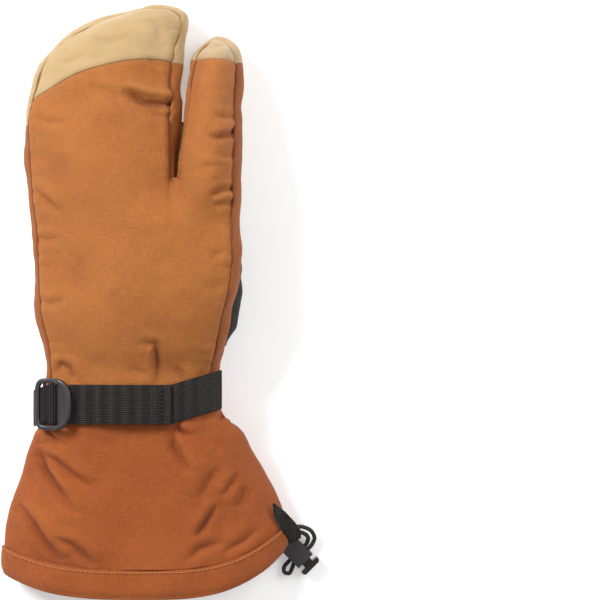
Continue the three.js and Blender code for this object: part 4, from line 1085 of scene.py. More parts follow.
def billow(p, held, growth, pressure, seed, limit, in_slit=None):
    """How a padded panel moves, in mm: its cloth is cut larger than its seams and its filling pushes out.

    The grid is simulated every few rows and columns, with the held points pinned, and the movement is spread
    back over the whole grid. None of it is longer than limit.
    """
    rows, columns = picked(p.shape[0]), picked(p.shape[1])
    pick = np.ix_(rows, columns)
    start = in_frame(p[pick])
    start[..., 2] += 0.15 * MM * waves(p[pick][..., 0], p[pick][..., 1], 9, seed)
    keep = None
    if in_slit is not None:
        gone = in_slit[pick]
        keep = ~(gone[:-1, :-1] | gone[1:, 1:])
    faces = grid_faces(len(rows), len(columns), keep)
    moved = settled(start.reshape(-1, 3), faces, held[pick], growth, pressure)
    shift = (moved.reshape(start.shape) - start) / MM
    size = np.linalg.norm(shift, axis=-1, keepdims=True)
    shift *= limit * np.tanh(size / limit) / np.maximum(size, 1e-9)
    for _ in range(2):
        shift[1:-1] = (shift[:-2] + 2 * shift[1:-1] + shift[2:]) / 4
        shift[:, 1:-1] = (shift[:, :-2] + 2 * shift[:, 1:-1] + shift[:, 2:]) / 4
    shift[held[pick]] = 0
    if in_slit is not None:
        shift[in_slit[pick]] = 0
    down = filled_in(shift, rows, p.shape[0])
    return filled_in(down.swapaxes(0, 1), columns, p.shape[1]).swapaxes(0, 1)


# Back of the hand

BACK_CREASE_DEPTH = 1.3  # how deep the back's creases are drawn, as a share of the table's depths
CAP_FIRMNESS = 0.35  # how much of the cloth's movement the stiffer leather caps follow
STILL_ROWS = 6  # rows at the tips that the filling doesn't move


def back_surface():
    """The back's grid with its seams, gathers and creases: points, normals and relief."""
    p = sheet_grid(1)
    held, in_slit = sewn_points(p)
    held[SEAM_ROW - 1 : SEAM_ROW + 2] = True
    moved = billow(p, held, growth=0.01, pressure=2.5, seed=5, limit=2.5, in_slit=in_slit)
    moved[SEAM_ROW:] *= CAP_FIRMNESS
    moved[-STILL_ROWS:] = 0
    p = p + moved
    n = normals(p)
    x, y = p[..., 0], p[..., 1]
    edge = seam_distance(p)
    down = walk(p, 0)
    seam = np.abs(down - down[SEAM_ROW])
    # The slit's line runs on below it as a groove
    middle = (LEFT_END + RIGHT_START) // 2
    below = np.clip((y - (PALM_LENGTH - GROOVE_LENGTH)) / GROOVE_LENGTH, 0, 1)
    groove = -1.4 * below**2 * np.exp(-(((x - x[:, middle : middle + 1]) / 2.6) ** 2))
    groove[SLIT_ROW:] = 0
    height = tuck(edge) + tuck(seam, depth=0.55, width=1.0)
    beside_edge = puckers(edge, y, depth=0.6, spacing=9.5, seed=3, reach=7.0)
    beside_cap = puckers(seam, x, depth=0.2, spacing=11.0, seed=8, reach=5.0)
    height += beside_edge + beside_cap
    height += BACK_CREASE_DEPTH * creases(x, y, BACK_CREASES) + creases(x, y, CAP_CREASES) + groove
    calm = 1 - np.exp(-edge / 5)
    height += calm * (0.8 * waves(x, y, size=44, seed=11) + 0.16 * waves(x, y, size=15, seed=12))
    height = height * tip_fade(p, 10)
    return p + n * height[..., None], n, height


def build_back():
    """Back panel and both leather caps."""
    p, n, relief = back_surface()
    i, j = cells(*p.shape[:2])
    open_slit = (j >= LEFT_END) & (j < RIGHT_START) & (i >= SLIT_ROW)
    back = (i < SEAM_ROW) & ~open_slit
    place(grid_object("back_panel", p, SHELL, relief, back), "hand_back")
    left = (i >= SEAM_ROW) & (j < LEFT_END)
    right = (i >= SEAM_ROW) & (j >= RIGHT_START)
    place(grid_object("fingers_leather_cap", p, LEATHER, relief, left), "fingers_cap")
    place(grid_object("index_leather_cap", p, PALE_LEATHER, relief, right), "index_cap")
    for column, start in ((0, 0), (-1, 0), (LEFT_END, SLIT_ROW), (RIGHT_START, SLIT_ROW)):
        rows = slice(start, SEAM_ROW + 1)
        bind(p[rows, column], n[rows, column], "brown")
    for columns in ((0, LEFT_END), (RIGHT_START, p.shape[1] - 1)):
        bind(round_tip(p, columns, SEAM_ROW), round_tip(n, columns, SEAM_ROW), "tan")
    beside_slit = np.s_[SLIT_ROW + 2 : SEAM_ROW - 4, RIGHT_START + 3]
    stitch("brown", p, n, beside_slit, pitch=3.2)


build_back()

# Side strips


def strip_surface(parts, seed):
    """A side strip's grid from station functions in order, its columns from the upper seam to the lower."""
    q = np.linspace(1, -1, STRIP_COLUMNS + 1)
    p = np.concatenate([np.stack([at(k) for k in q], 1)[order] for at, order in parts])
    n = normals(p, -1)
    edge = edge_distance(p)
    run = walk(p, 0)
    z = p[..., 2]
    height = tuck(edge, depth=0.35) + puckers(edge, run, depth=0.4, spacing=9.5, seed=seed)
    height += 0.6 * waves(run, z, size=30, seed=seed + 2) + 0.12 * waves(run, z, size=11, seed=seed + 3)
    return p + n * height[..., None], height


FORWARD, BACKWARD = slice(None), slice(None, None, -1)
TIP_STRIP_ROW = 4  # where the tan strip round the fingers' tip begins on the outer side


def build_strips():
    """Side strips round the fingers and round the index finger, in cloth with leather at the tips."""
    along = np.linspace(0, 1, HAND_ROWS + 1)[:-1]
    rows = np.linspace(0, TIP_ROW, BLOCK_ROWS + 1)
    outer = [
        (hand_side(along, 0), FORWARD),
        (FINGERS.side(rows, 0), FORWARD),
        (FINGERS.side(rows, 1), BACKWARD),
    ]
    inner = [
        (INDEX.side(rows, 0), FORWARD),
        (INDEX.side(rows, 1), BACKWARD),
        (hand_side(along, 1), BACKWARD),
    ]
    per_row = BLOCK_ROWS / TIP_ROW
    # The outer side strips are drawn in the darker copy of the shell's cloth, painted shade for their
    # sideways faces; the fourchettes keep the shell's own colour
    strips = (
        (
            outer,
            21,
            (int(HAND_ROWS + TIP_STRIP_ROW * per_row), int(HAND_ROWS + BLOCK_ROWS + 1 + CAP_ROW * per_row)),
            (
                ("outer_gusset", SHADED_SIDE_SHELL, "gusset_outer"),
                ("fingers_tip_gusset", LEATHER, "gusset_tip"),
                ("fingers_fourchette", SHELL, "fourchette_fingers"),
            ),
        ),
        (
            inner,
            31,
            (int(CAP_ROW * per_row), int(BLOCK_ROWS + 1 + CAP_ROW * per_row)),
            (
                ("index_fourchette", SHELL, "fourchette_index"),
                ("index_tip_gusset", PALE_LEATHER, "gusset_index_tip"),
                ("thumb_side_gusset", SHADED_SIDE_SHELL, "gusset_thumb_side"),
            ),
        ),
    )
    for stations, seed, (tip_start, tip_end), pieces in strips:
        p, relief = strip_surface(stations, seed)
        i = cells(*p.shape[:2])[0]
        stretches = (i < tip_start, (i >= tip_start) & (i < tip_end), i >= tip_end)
        for stretch, (name, mat, node) in zip(stretches, pieces):
            place(grid_object(name, p, mat, relief, stretch, True), node)


build_strips()

# Palm side

GATHER_ROW = int(round(GATHER * HAND_ROWS))
PALM_PITCH = 2.8  # of the palm's stitches, in mm
PATCH_INSET = 14  # rows and columns from the second layer's edge to the slit's row and to the index seam


def palm_surface():
    """The palm side's grid with its seams, gathers and creases: bare points, points, normals and relief."""
    p = sheet_grid(-1)
    held, in_slit = sewn_points(p)
    held[GATHER_ROW] = True
    moved = billow(p, held, growth=0.02, pressure=2.0, seed=6, limit=3.0, in_slit=in_slit)
    moved[-STILL_ROWS:] = 0
    p = p + moved
    n = normals(p, -1)
    x, y = p[..., 0], p[..., 1]
    edge = seam_distance(p)
    down = walk(p, 0)
    seam = np.abs(down - down[GATHER_ROW])
    folds = creases(x, y, PALM_CREASES, np.asarray)
    calm = 1 - np.exp(-edge / 5)
    height = tuck(edge, depth=0.9) + calm * (puckers(edge, y, depth=0.35, spacing=9, seed=41) + folds)
    height += calm * (0.7 * waves(x, y, size=30, seed=42) + 0.3 * waves(x, y, size=12, seed=43))
    band = np.exp(-((np.minimum(y, 40) / 22) ** 2))
    ripple = np.sin(2 * np.pi * x / 8 + 0.9 * waves(x, y, size=26, seed=44) + 0.12 * y)
    height += 1.1 * band * ripple + tuck(seam, depth=0.8, width=1.3)
    height = height * tip_fade(p, 26)
    return p, clear_floor(p + n * height[..., None]), n, height


def build_palm():
    """Gathered wrist, palm leather, the index compartment's underside and its second layer."""
    p, skin, n, height = palm_surface()
    i, j = cells(*p.shape[:2])
    open_slit = (j >= LEFT_END) & (j < RIGHT_START) & (i >= SLIT_ROW)
    gather = i < GATHER_ROW
    leather = (i >= GATHER_ROW - 2) & ~open_slit & ((i < SLIT_ROW) | (j < LEFT_END))
    index = (i >= SLIT_ROW - 1) & (j >= RIGHT_START)
    place(grid_object("gathered_wrist", skin, SHELL, height, gather, True), "wrist_gather")
    place(grid_object("palm_leather_panel", skin, LEATHER, height, leather, True), "palm_leather")
    place(grid_object("index_leather_palm", skin, LEATHER, height, index, True), "index_palm")
    ridge = {"radius": 1.1, "sink": 0.6}
    for column in (0, -1):
        for color, rows in (("brown", slice(GATHER_ROW + 1)), ("tan", slice(GATHER_ROW, SLIT_ROW + 1))):
            bind(p[rows, column], n[rows, column], color, **ridge)
    for columns in ((0, LEFT_END), (RIGHT_START, p.shape[1] - 1)):
        bind(round_tip(p, columns, SLIT_ROW), round_tip(n, columns, SLIT_ROW), "tan", **ridge)
    patch_skin = clear_floor(skin + n * (PATCH_THICKNESS + 0.2))
    first = SLIT_ROW - PATCH_INSET
    last = SLIT_ROW + BLOCK_ROWS - PATCH_INSET - 2
    edge = RIGHT_START + PATCH_INSET
    patch = (i >= first) & (i < last) & (j >= edge)
    made = grid_object("index_second_layer", patch_skin, LEATHER, height, patch, True, PATCH_THICKNESS)
    place(made, "index_patch")
    for column in (edge + 2, edge + 4):
        stitch("tan", patch_skin, n, np.s_[first + 2 : last - 2, column], PALM_PITCH)
    for color, row in (("brown", 4), ("brown", GATHER_ROW - 3), ("tan", GATHER_ROW + 2)):
        stitch(color, skin, n, np.s_[row, 4:-4], PALM_PITCH)
    stitch("tan", skin, n, np.s_[GATHER_ROW + 4 : SEAM_ROW, 4], PALM_PITCH)


build_palm()

# Thumb


def palm_underside():
    """A function that gives the height of the palm's outer face at points, read off its own grid's rows."""
    p = sheet_grid(-1)[:SLIT_ROW]

    def at(x, y):
        """Heights at places x and y, one pair for each point."""
        rows = p[np.clip(y / PALM_LENGTH * HAND_ROWS, 0, SLIT_ROW - 1).astype(int)]
        return np.array([np.interp(across, row[:, 0], row[:, 2]) for across, row in zip(x, rows)])

    return at


# Places of the thumb's rings along it, closer together towards its tip
THUMB_RINGS = np.concatenate([np.linspace(0, 0.9, 64), 1 - 0.1 * (1 - np.linspace(0, 1, 18)[1:]) ** 1.6])
THUMB_FREE = 0.4  # where the thumb is clear of the palm, as a share of its length
THUMB_PARTING = 0.33  # where it starts to part from it


def thumb_rings(angles):
    """Rings of the thumb from its base to its tip and a closing point, one point for each angle of a ring."""
    share = THUMB_RINGS
    y = THUMB_START + share * THUMB_LENGTH
    left = read(THUMB, "left", share, 0.02) * THUMB_WIDTH
    right = read(THUMB, "right", share, 0.02) * THUMB_WIDTH
    middle = THUMB_MIDDLE + (left + right) / 2
    under = read(THUMB, "under", share, 0.02) * THUMB_DEPTH
    lift = palm_underside()(middle, y) + PAD_WALL + 4
    free = np.clip((share - THUMB_PARTING) / 0.07, 0, 1)
    over = mix(lift, np.interp(share, [THUMB_FREE, 1], [1.05, 0.65]) * THUMB_DEPTH, free)
    over = np.where(share > THUMB_FREE, read(THUMB, "over", share, 0.02) * THUMB_DEPTH, over)
    c, s = np.cos(angles), np.sin(angles)
    flat = flattened(s, 0.72)
    taper = 0.22 * (1 - free)[:, None] * np.maximum(s, 0)
    half = ((right - left) / 2)[:, None]
    x = middle[:, None] + half * flattened(c, 0.85) * (1 - taper)
    side = mix(under, over, mix(0.32, 0.5, free))[:, None]
    z = np.where(s > 0, mix(side, over[:, None], flat), mix(side, under[:, None], -flat))
    grid = np.stack([x, np.broadcast_to(y[:, None], x.shape), z], -1)
    closing = np.array([middle[-1], y[-1] + 1.2, (over[-1] + under[-1]) / 2])
    return np.concatenate([grid, np.broadcast_to(closing, (1, x.shape[1], 3))])


def thumb_seams():
    """Angles of the thumb's right and left seam at each ring, where its side passes the seam's height."""
    count = 400
    angles = np.linspace(-np.pi / 2, 1.5 * np.pi, count, endpoint=False)
    dense = thumb_rings(np.broadcast_to(angles, (len(THUMB_RINGS), count)))[:-1]
    x, z = dense[..., 0], dense[..., 2]
    slope = np.where(x < THUMB_MIDDLE, 0.3, 2 * THUMB_SEAM_TILT / THUMB_WIDTH)
    over = z >= THUMB_SEAM_HEIGHT + slope * (x - THUMB_MIDDLE)
    right = angles[np.argmax(over[:, : count // 2], axis=1)]
    left = angles[count - 1 - np.argmax(over[:, ::-1][:, : count // 2], axis=1)]
    return right, left


THUMB_COLUMNS = 60
KNUCKLE_FOLDS = (44, 62, 83, 101)  # places of the folds across the thumb, in mm from its base


def build_thumb():
    """Black knit back of the thumb, towards the floor, and its leather, parted along the seam's height."""
    right, left = thumb_seams()
    for name, first, last, mat, node, seed in (
        ("thumb_knit_panel", left - 2 * np.pi, right, KNIT, "thumb_back", 51),
        ("thumb_leather_panel", right, left, LEATHER, "thumb_leather", 61),
    ):
        share = np.linspace(0, 1, THUMB_COLUMNS + 1)
        p = thumb_rings(first[:, None] + (last - first)[:, None] * share)
        n = normals(p, -1)
        edge = edge_distance(p)
        run = walk(p, 0)
        x = p[..., 0]
        height = tuck(edge, depth=0.7, width=1.1) + puckers(edge, run, depth=0.35, spacing=7.5, seed=seed)
        height += 0.5 * waves(x, run, size=22, seed=seed) + 0.2 * waves(x, run, size=8, seed=seed + 1)
        for k, fold in enumerate(KNUCKLE_FOLDS):
            wander = 3 * waves(x, run, size=30, seed=seed + k)
            height -= 0.7 * np.exp(-(((run - fold - wander) / 2.4) ** 2))
        height *= np.clip((np.arange(p.shape[0])[::-1]) / 6, 0, 1)[:, None]
        skin = clear_floor(p + n * height[..., None])
        place(weld(grid_object(name, skin, mat, height, None, True)), node)
        if mat is LEATHER:
            for column in (0, -1):
                bind(skin[:-1, column], n[:-1, column], "tan", radius=0.9, sink=0.3)


build_thumb()

# Gauntlet


def wrist_curve(up):
    """The wrist's section from its left fold to its right one, over the back or under the palm."""
    zero = np.zeros(1)
    q = np.linspace(0, up, 20)
    left = np.stack([hand_side(zero, 0)(k)[0] for k in q])
    right = np.stack([hand_side(zero, 1)(k)[0] for k in q])
    row = sheet_grid(up)[0]
    return np.concatenate([left[:-1], row, right[::-1][1:]])


WRIST = {1: wrist_curve(1), -1: wrist_curve(-1)}

CUFF_ROWS = 150
CUFF_COLUMNS = 150
CUFF_CREASE_DEPTH = 1.25  # how deep its creases are drawn, as a share of the table's depths
CUFF_REACH = 0.862  # where its cloth ends under the hem, as a share of the gauntlet's length


def cuff_rows(y, left, right, settle, rise, up):
    """Rows of the gauntlet's back or palm half, between its two side folds."""
    wrist = WRIST[up]
    even = np.linspace(0, 1, CUFF_COLUMNS + 1)
    s = mix(even, 0.5 - 0.5 * np.cos(np.pi * even), 0.6)
    x0, x1 = wrist[0, 0], wrist[-1, 0]
    near_x = x0 + (x1 - x0) * s
    near_z = np.interp(near_x, wrist[:, 0], wrist[:, 2])
    far_x = HEM_MIDDLE + (s - 0.5) * HEM_WIDTH
    part = mix(left[:, None], right[:, None], s)
    x = mix(near_x, far_x, part)
    bulge = (1 - np.abs(2 * s - 1) ** 2.4) ** 0.65
    flatter = (1 - np.abs(2 * s - 1) ** 9) ** 0.65
    if up > 0:
        far_z = CUFF_EDGE_HEIGHT + (CUFF_HEIGHT - CUFF_EDGE_HEIGHT) * bulge
    else:
        far_z = CUFF_EDGE_HEIGHT * (1 - 1.25 * flatter)
    z = np.maximum(mix(near_z, far_z, settle[:, None]), 0)
    bend = np.abs(2 * s - 1) ** 3.2 * np.where(s < 0.5, HEM_RISE_LEFT, HEM_RISE_RIGHT)
    return np.stack([x, y[:, None] + rise[:, None] * bend, z], -1)


def cuff_height(p, up, edge):
    """Creases, gathers and soft waves of the gauntlet's cloth in mm."""
    x, y = p[..., 0], p[..., 1]
    broad = waves(x, y * 0.8, size=56, seed=71 if up > 0 else 81)
    base = 1.1 * broad + 0.22 * waves(x, y, size=22, seed=72)
    gather = np.exp(-(((y + 14) / 16) ** 2))
    ripple = np.sin(2 * np.pi * x / 11 + 1.3 * waves(x, y, size=30, seed=74))
    ends = 1 - np.exp(-edge / 6)
    height = ends * (base + (0.25 if up > 0 else 0.7) * gather * ripple)
    if up > 0:
        height = height + CUFF_CREASE_DEPTH * creases(x, y, CUFF_CREASES)
    return height


def build_gauntlet():
    """Back and palm halves of the gauntlet, drawn in at the wrist and creased."""
    along = np.linspace(0, CUFF_REACH, CUFF_ROWS + 1)
    shape = [read(CUFF, name, along, 0.02) for name in ("left", "right", "settle", "rise")]
    for up, name, node in ((1, "gauntlet_back", "cuff_back"), (-1, "gauntlet_palm", "cuff_palm")):
        p = cuff_rows(-along * CUFF_LENGTH, *shape, up)
        held = np.zeros(p.shape[:2], bool)
        held[:, [0, -1]] = held[[0, -1]] = True
        p = p + billow(p, held, growth=0.006, pressure=1.5, seed=7 + up, limit=2.5)
        n = normals(p, -up)
        edge = edge_distance(p)
        height = cuff_height(p, up, edge) + tuck(edge, depth=0.9, width=1.6)
        skin = clear_floor(p + n * height[..., None])
        place(grid_object(name, skin, CUFF_SHELL, height, None, up > 0, GAUNTLET_THICKNESS), node)


build_gauntlet()

HEM_ROWS = 60
HEM_WALL = 1.8
HEM_ROUND = 1.4  # how far the folded edge rounds past the band
# Down the hem from its upper edge, in mm
HEM_GROOVE = 0.4
HEM_RIDGE = 2.0
HEM_STITCHES = 2.2


def build_hem():
    """The hem: a folded band with a rounded lower edge, the cord's channel in it and its topstitching."""
    share = np.linspace(0, 1, HEM_ROWS + 1)
    one = np.ones(HEM_ROWS + 1)
    flare = 1 + 0.013 * np.sin(np.pi * share)
    y = -(CUFF_LENGTH - HEM_BAND) - share * HEM_BAND
    back, palm = (cuff_rows(y, flare, flare - 0.012 * share, one, one, up) for up in (1, -1))
    p = np.concatenate([back, palm[:, ::-1][:, 1:]], 1)
    n = normals(p, -1)
    n[:, 0] = n[:, -1] = (n[:, 0] + n[:, -1]) / 2
    run = walk(p, 1)
    down = walk(p, 0)
    roll = 1.3 * (1 - (1 - np.sin(np.pi * np.clip(share, 0.02, 0.98))) ** 2.4)[:, None]
    groove = -1.2 * np.exp(-(((down - HEM_GROOVE) / 0.8) ** 2))
    ridge = 0.5 * np.exp(-(((down - HEM_RIDGE) / 0.8) ** 2))
    height = roll + groove + ridge
    height = height + puckers(np.abs(down - 1.0), run, depth=0.55, spacing=9.0, seed=91, reach=5.0)
    height = height + 0.35 * waves(run, down, size=24, seed=92)
    outer = p + n * height[..., None]
    inner = p - n * HEM_WALL
    turn = np.linspace(0, np.pi, 9)[1:-1]
    middle, half = (outer[-1] + inner[-1]) / 2, (outer[-1] - inner[-1]) / 2
    under = [middle + half * np.cos(a) + np.array([0, -HEM_ROUND, 0]) * np.sin(a) for a in turn]
    section = clear_floor(np.concatenate([outer, np.stack(under), inner[::-1], outer[:1]]))
    relief = np.zeros(section.shape[:2])
    # The relief is lowered by 0.9 mm so that the painted relief shading darkens the hem's groove more and
    # paints little highlight on its roll
    relief[: HEM_ROWS + 1] = height - 0.9
    place(weld(grid_object("gauntlet_hem", section, CUFF_SHELL, relief, None, True, 0)), "cuff_hem")
    row = int(np.argmin(np.abs(down[:, CUFF_COLUMNS // 2] - HEM_STITCHES)))
    STITCHES["rust"].append(stitch_row(outer[row], n[row], pitch=2.6, share=0.8, radius=0.32))


build_hem()

# Strap, buckle and hardware


def wrist_top(x):
    """Point and upward normal, both (x, z), on the wrist's outer face over x."""
    line = WRIST[1]
    z = np.interp(x, line[:, 0], line[:, 2])
    slope = (np.interp(x + 3, line[:, 0], line[:, 2]) - np.interp(x - 3, line[:, 0], line[:, 2])) / 6
    n = np.array([-slope, 1.0])
    return np.array([x, z]), n / np.linalg.norm(n)


SEAT, SEAT_NORMAL = wrist_top(BUCKLE_MIDDLE)
SEAT_ALONG = np.array([SEAT_NORMAL[1], -SEAT_NORMAL[0]])
# Heights over the wrist of the middles of the strap's two layers, at the buckle and where they lie on the
# cloth, and of the bar's middle
LOAD_HEIGHT = 2.2
LAID_HEIGHT = LOAD_HEIGHT - 1
BAR_MIDDLE = LOAD_HEIGHT + WEBBING / 2 + GAP + FRAME_THICKNESS / 2
BAR_AT = -1.0
TAIL_HEIGHT = LOAD_HEIGHT + WEBBING + GAP
LAID_TAIL_HEIGHT = LAID_HEIGHT + WEBBING + GAP
END_LIFT = 1.6  # how far the sewn end lifts off the wrist


def on_buckle(a, h):
    """The (x, z) point a along the buckle's seat and h over it."""
    return SEAT + SEAT_ALONG * a + SEAT_NORMAL * h


def strap_line():
    """The strap's middle line as (x, z) points, from its sewn end round the buckle's bar to its tail."""

    def lay(start, end, height, count):
        """Points on the wrist from start to end, at a height that grows towards the sewn end."""
        out = []
        for x in np.linspace(start, end, count + 1):
            point, normal = wrist_top(x)
            lifted = height + END_LIFT * max((x - STRAP_TAIL) / (STRAP_END - STRAP_TAIL), 0)
            out.append(point + normal * lifted)
        return out

    wrap = BAR_WIDTH / 2 + GAP + WEBBING / 2
    high = FRAME_THICKNESS / 2 + GAP + WEBBING / 2
    bend = []
    for k in range(7):
        angle = -np.pi / 2 - np.pi * k / 6
        rise = high * np.sin(angle) * (1 if k < 3 else 1.15)
        bend.append(on_buckle(BAR_AT + wrap * 1.35 * np.cos(angle), BAR_MIDDLE + rise))
    return np.array(
        [
            *lay(STRAP_END, BUCKLE_MIDDLE + 20, LAID_HEIGHT, 9),
            on_buckle(8, LOAD_HEIGHT),
            *bend,
            on_buckle(BAR_AT + wrap * 0.85, BAR_MIDDLE + high * 0.85),
            on_buckle(BAR_AT + wrap * 1.35, TAIL_HEIGHT + 0.45),
            on_buckle(BAR_AT + wrap * 2.2, TAIL_HEIGHT),
            on_buckle(9, TAIL_HEIGHT),
            *lay(BUCKLE_MIDDLE + 17, STRAP_TAIL, LAID_TAIL_HEIGHT, 7),
        ]
    )


def ribbon_object(name, line, width, middle, thickness):
    """Webbing along (x, z) points: its section is a flat oval across y, whose middle is a function of x."""
    p = smooth_curve(line, 260)[0]
    t = np.gradient(p, axis=0)
    t /= np.linalg.norm(t, axis=1)[:, None]
    n = np.stack([-t[:, 1], t[:, 0]], 1)
    angle = np.linspace(0, 2 * np.pi, 28, endpoint=False)
    across = flattened(np.cos(angle), 0.35) * width / 2
    over = flattened(np.sin(angle), 0.7) * thickness / 2
    x = p[:, :1] + n[:, :1] * over
    y = middle(p[:, 0])[:, None] + across[None]
    z = p[:, 1:] + n[:, 1:] * over
    points = np.stack([x, y, z], -1).reshape(-1, 3)
    uv = np.stack([np.repeat(walk(p, 0), len(angle)), np.tile(across, len(p))], 1)
    return mesh_object(name, points, outward(points, tube_faces(len(p), len(angle))), STRAP, uv)


def strap_middle(x):
    """The strap's middle in y at a place x: its sewn end turns towards the fingers."""
    return STRAP_MIDDLE + STRAP_RISE * np.maximum((x - STRAP_TAIL) / (STRAP_END - STRAP_TAIL), 0)


TAIL_STITCHES = (4.0, 5.6)  # rows across the strap's tail, in mm from its end
TAIL_STITCH_INSET = 2.0


def build_strap():
    """The wrist strap with its stitched tail."""
    place(ribbon_object("strap_webbing", strap_line(), STRAP_WIDTH, strap_middle, WEBBING), "wrist_strap")
    y = STRAP_MIDDLE + np.linspace(-1, 1, 9) * (STRAP_WIDTH / 2 - TAIL_STITCH_INSET)
    for from_end in TAIL_STITCHES:
        x = STRAP_TAIL - from_end
        point, normal = wrist_top(x)
        z = point[1] + LAID_TAIL_HEIGHT + WEBBING / 2
        route = np.stack([np.full_like(y, x), y, np.full_like(y, z)], 1)
        up = np.tile([normal[0], 0, normal[1]], (len(y), 1))
        STITCHES["black"].append(stitch_row(route, up, pitch=2.4, radius=0.3))


build_strap()

# The buckle, in mm along and across the strap from its middle, and over its seat
BUCKLE_LEFT, BUCKLE_RIGHT, BUCKLE_HALF = 10.7, 11.4, 14.0
LOOP_BAR = -6.6
LIP_START = 4.5
LIP_BOTTOM, LIP_TOP = 6.0, 7.7
FRAME_LOW, FRAME_HIGH = 5.3, 6.9
FRAME_HALF_WIDTH, FRAME_HALF_HEIGHT = 1.5, 1.55
ROUND_END, SQUARE_END = 0.78, 0.34  # powers of the frame's outline


def buckle_point(a, b, h):
    """A layout point a along the buckle, b across it and h over its seat."""
    flat = on_buckle(np.asarray(a, float)[..., None], np.asarray(h, float)[..., None])
    y = np.broadcast_to(STRAP_MIDDLE + np.asarray(b, float), flat[..., 0].shape)
    return np.stack([flat[..., 0], y, flat[..., 1]], -1)


def buckle_height(a):
    """Middle height of the frame, which steps up at the lip so that the strap's tail passes under it."""
    t = np.clip((a + 2) / 7, 0, 1)
    return mix(FRAME_LOW, FRAME_HIGH, t * t * (3 - 2 * t))


def buckle_frame():
    """The frame: a rounded section carried round an outline of flattened sines and cosines."""
    turn = np.linspace(0, 2 * np.pi, 120, endpoint=False)
    c, s = np.cos(turn), np.sin(turn)
    power = np.where(c < 0, SQUARE_END, ROUND_END)
    a = flattened(c, power) * np.where(c < 0, BUCKLE_LEFT, BUCKLE_RIGHT)
    b = flattened(s, power) * BUCKLE_HALF
    centre = np.stack([a, b], 1)
    step = np.roll(centre, -1, 0) - np.roll(centre, 1, 0)
    out = np.stack([step[:, 1], -step[:, 0]], 1) / np.linalg.norm(step, axis=1)[:, None]
    section = np.linspace(0, 2 * np.pi, 20, endpoint=False)
    wide = flattened(np.cos(section), 0.7) * FRAME_HALF_WIDTH
    tall = flattened(np.sin(section), 0.7) * FRAME_HALF_HEIGHT
    flat = centre[:, None] + out[:, None] * wide[None, :, None]
    ring = buckle_point(flat[..., 0], flat[..., 1], buckle_height(a)[:, None] + tall[None])
    count, sides = ring.shape[:2]
    i, j = np.meshgrid(np.arange(count), np.arange(sides), indexing="ij")
    m, k = (i + 1) % count, (j + 1) % sides
    faces = np.stack([i * sides + j, i * sides + k, m * sides + k, m * sides + j], -1)
    return ring.reshape(-1, 3), faces.reshape(-1, 4).tolist()


def buckle_lip():
    """The thumb lip: a plate from inside the frame to its round end, dished on top, with walls at its rim."""
    across = np.linspace(-1, 1, 41) * (BUCKLE_HALF - FRAME_HALF_WIDTH)
    inside = np.maximum(1 - np.abs(across / BUCKLE_HALF) ** (2 / ROUND_END), 0)
    edge = np.sqrt(inside) ** ROUND_END * BUCKLE_RIGHT
    share = np.linspace(0, 1, 16)
    along = mix(LIP_START, np.maximum(edge[:, None], LIP_START + 0.05), share[None])
    dish = 0.7 * np.sin(np.pi * share)[None] * (1 - (across / BUCKLE_HALF) ** 2)[:, None]
    top = buckle_point(along, across[:, None] + 0 * share, LIP_TOP - dish)
    bottom = buckle_point(along, across[:, None] + 0 * share, LIP_BOTTOM + 0 * dish)
    rows, columns = top.shape[:2]
    lid = grid_faces(rows, columns)
    base = rows * columns
    rim = [i * columns for i in range(rows)] + [(rows - 1) * columns + j for j in range(1, columns)]
    rim += [i * columns + columns - 1 for i in range(rows - 2, -1, -1)] + list(range(columns - 2, 0, -1))
    rim, after = np.array(rim), np.roll(rim, -1)
    walls = np.stack([rim, after, base + after, base + rim], 1)
    faces = np.concatenate([lid[:, ::-1], lid + base, walls])
    return np.concatenate([top.reshape(-1, 3), bottom.reshape(-1, 3)]), faces.tolist()


def build_buckle():
    """Ladder-lock buckle: a frame square at one end and round at the other, two bars, a dished thumb lip."""
    parts = [buckle_frame()]
    reach = np.linspace(-BUCKLE_HALF + 0.6, BUCKLE_HALF - 0.6, 30)
    for bar in (LOOP_BAR, BAR_AT):
        at = buckle_point(np.full(30, bar), reach, np.full(30, BAR_MIDDLE))
        parts.append(tube(at, BAR_WIDTH / 2, 12))
    parts.append(buckle_lip())
    place(joined("buckle_frame_and_lip", parts, LIP_PLASTIC), "ladder_buckle")


def build_buckle_loop():
    """The short webbing that holds the buckle: under its frame, round the outer bar and back."""
    turn = np.linspace(-1.6, 2.9, 8)
    bend = [on_buckle(LOOP_BAR + 2.2 * np.cos(a), BAR_MIDDLE + 1.9 * np.sin(a)) for a in turn]
    line = np.array(
        [
            on_buckle(-15.0, -1.0),
            on_buckle(-12.5, 1.0),
            on_buckle(-9.5, 1.6),
            *bend,
            on_buckle(-9.8, 2.9),
            on_buckle(-12.6, 2.6),
            on_buckle(-15.4, 0.8),
        ]
    )

    def middle(x):
        """The loop's middle in y at a place x: it turns towards the hem beyond the buckle."""
        return STRAP_MIDDLE - 0.35 * np.maximum(BUCKLE_MIDDLE - 7 - x, 0)

    place(ribbon_object("buckle_webbing", line, STRAP_WIDTH - 1.5, middle, WEBBING * 0.8), "buckle_loop")


build_buckle()
build_buckle_loop()


def dress_hard(node, mat, bevel):
    """A hard CAD piece keeps its shape and gets its material and rounded edges."""
    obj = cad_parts[node]
    obj.data.materials.clear()
    obj.data.materials.append(mat)
    if bevel:
        edge = obj.modifiers.new("edges", "BEVEL")
        edge.width = bevel * MM
        edge.segments = 2
        edge.limit_method = "ANGLE"
        edge.angle_limit = np.radians(35)
    return obj


dress_hard("cord_lock", LIP_PLASTIC, 0.8)
dress_hard("cord_lock_button", PLASTIC, 0.4)
dress_hard("glove_clip", PLASTIC, 0.4)
dress_hard("lock_tab", TAB, 0.3)
dress_hard("clip_loop", TAB, 0.2)

# Draw cord


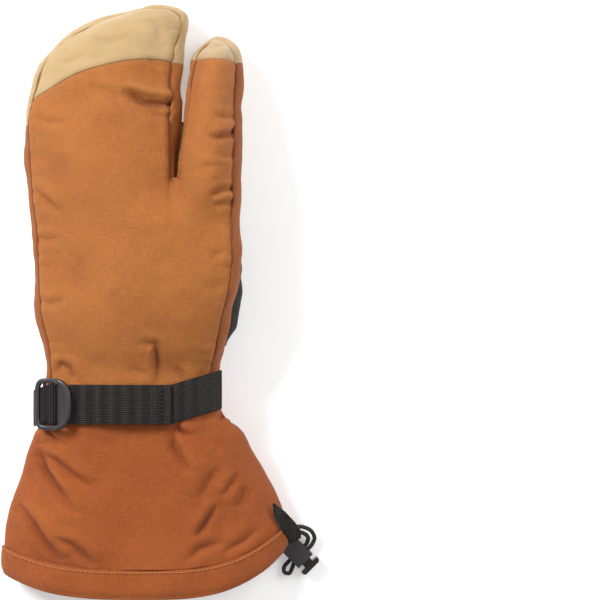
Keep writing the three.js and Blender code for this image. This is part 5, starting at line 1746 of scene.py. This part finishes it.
def build_cord():
    """The elastic cord from the hem through its lock, round and back."""
    line, _, length = smooth_curve(CORD_ROUTE, 240)
    path = in_frame(line)
    made = mesh_object("elastic_draw_cord", *tube(line, CORD_DIAMETER / 2, 12), CORD)
    place(made, "draw_cord")


build_cord()

# Seams and stitches, each colour joined into one piece

# The seams' ridges are drawn darker than their panels: painted shade in the seams' grooves
for color, mat in (("brown", SEAM_SHADE_CLOTH), ("tan", SEAM_SHADE_LEATHER)):
    place(joined(f"{color}_seams", [tube(line, radius, 8) for line, radius in SEAMS[color]], mat))
for color, mat in (("brown", THREAD), ("rust", RUST_THREAD), ("tan", PALE_THREAD), ("black", DARK_THREAD)):
    place(joined(f"{color}_stitches", STITCHES[color], mat))

# Studio


def build_studio():
    """A pale table, two large soft lights and a white world."""
    mesh = bpy.data.meshes.new("table_top")
    reach = 1.6
    corners = [(-reach, -reach, 0), (reach, -reach, 0), (reach, reach, 0), (-reach, reach, 0)]
    mesh.from_pydata(corners, [], [(0, 1, 2, 3)])
    top = bpy.data.objects.new("table_top", mesh)
    bpy.context.collection.objects.link(top)
    glow = {"Emission_Color": linear("#ffffff"), "Emission_Strength": 0.3}
    made, _, _ = material("white_table", "#f6f6f6", 0.9, **glow)
    mesh.materials.append(made)
    world = bpy.data.worlds.new("studio")
    world.use_nodes = True
    world.node_tree.nodes["Background"].inputs["Color"].default_value = (1, 1, 1, 1)
    world.node_tree.nodes["Background"].inputs["Strength"].default_value = 0.45
    bpy.context.scene.world = world
    for name, place_at, size, power in (
        ("key_light", (-0.95, 0.75, 1.0), 0.5, 25.0),
        ("fill_light", (0.95, 0.5, 1.0), 1.0, 10.0),
    ):
        data = bpy.data.lights.new(name, "AREA")
        data.size = size
        data.energy = power
        lamp = bpy.data.objects.new(name, data)
        bpy.context.collection.objects.link(lamp)
        lamp.location = place_at
        aim = -np.array(place_at)
        flat = np.hypot(aim[0], aim[1])
        lamp.rotation_euler = (np.arctan2(flat, -aim[2]), 0, np.arctan2(aim[1], aim[0]) - np.pi / 2)
    bpy.context.scene.view_settings.view_transform = "Standard"


build_studio()
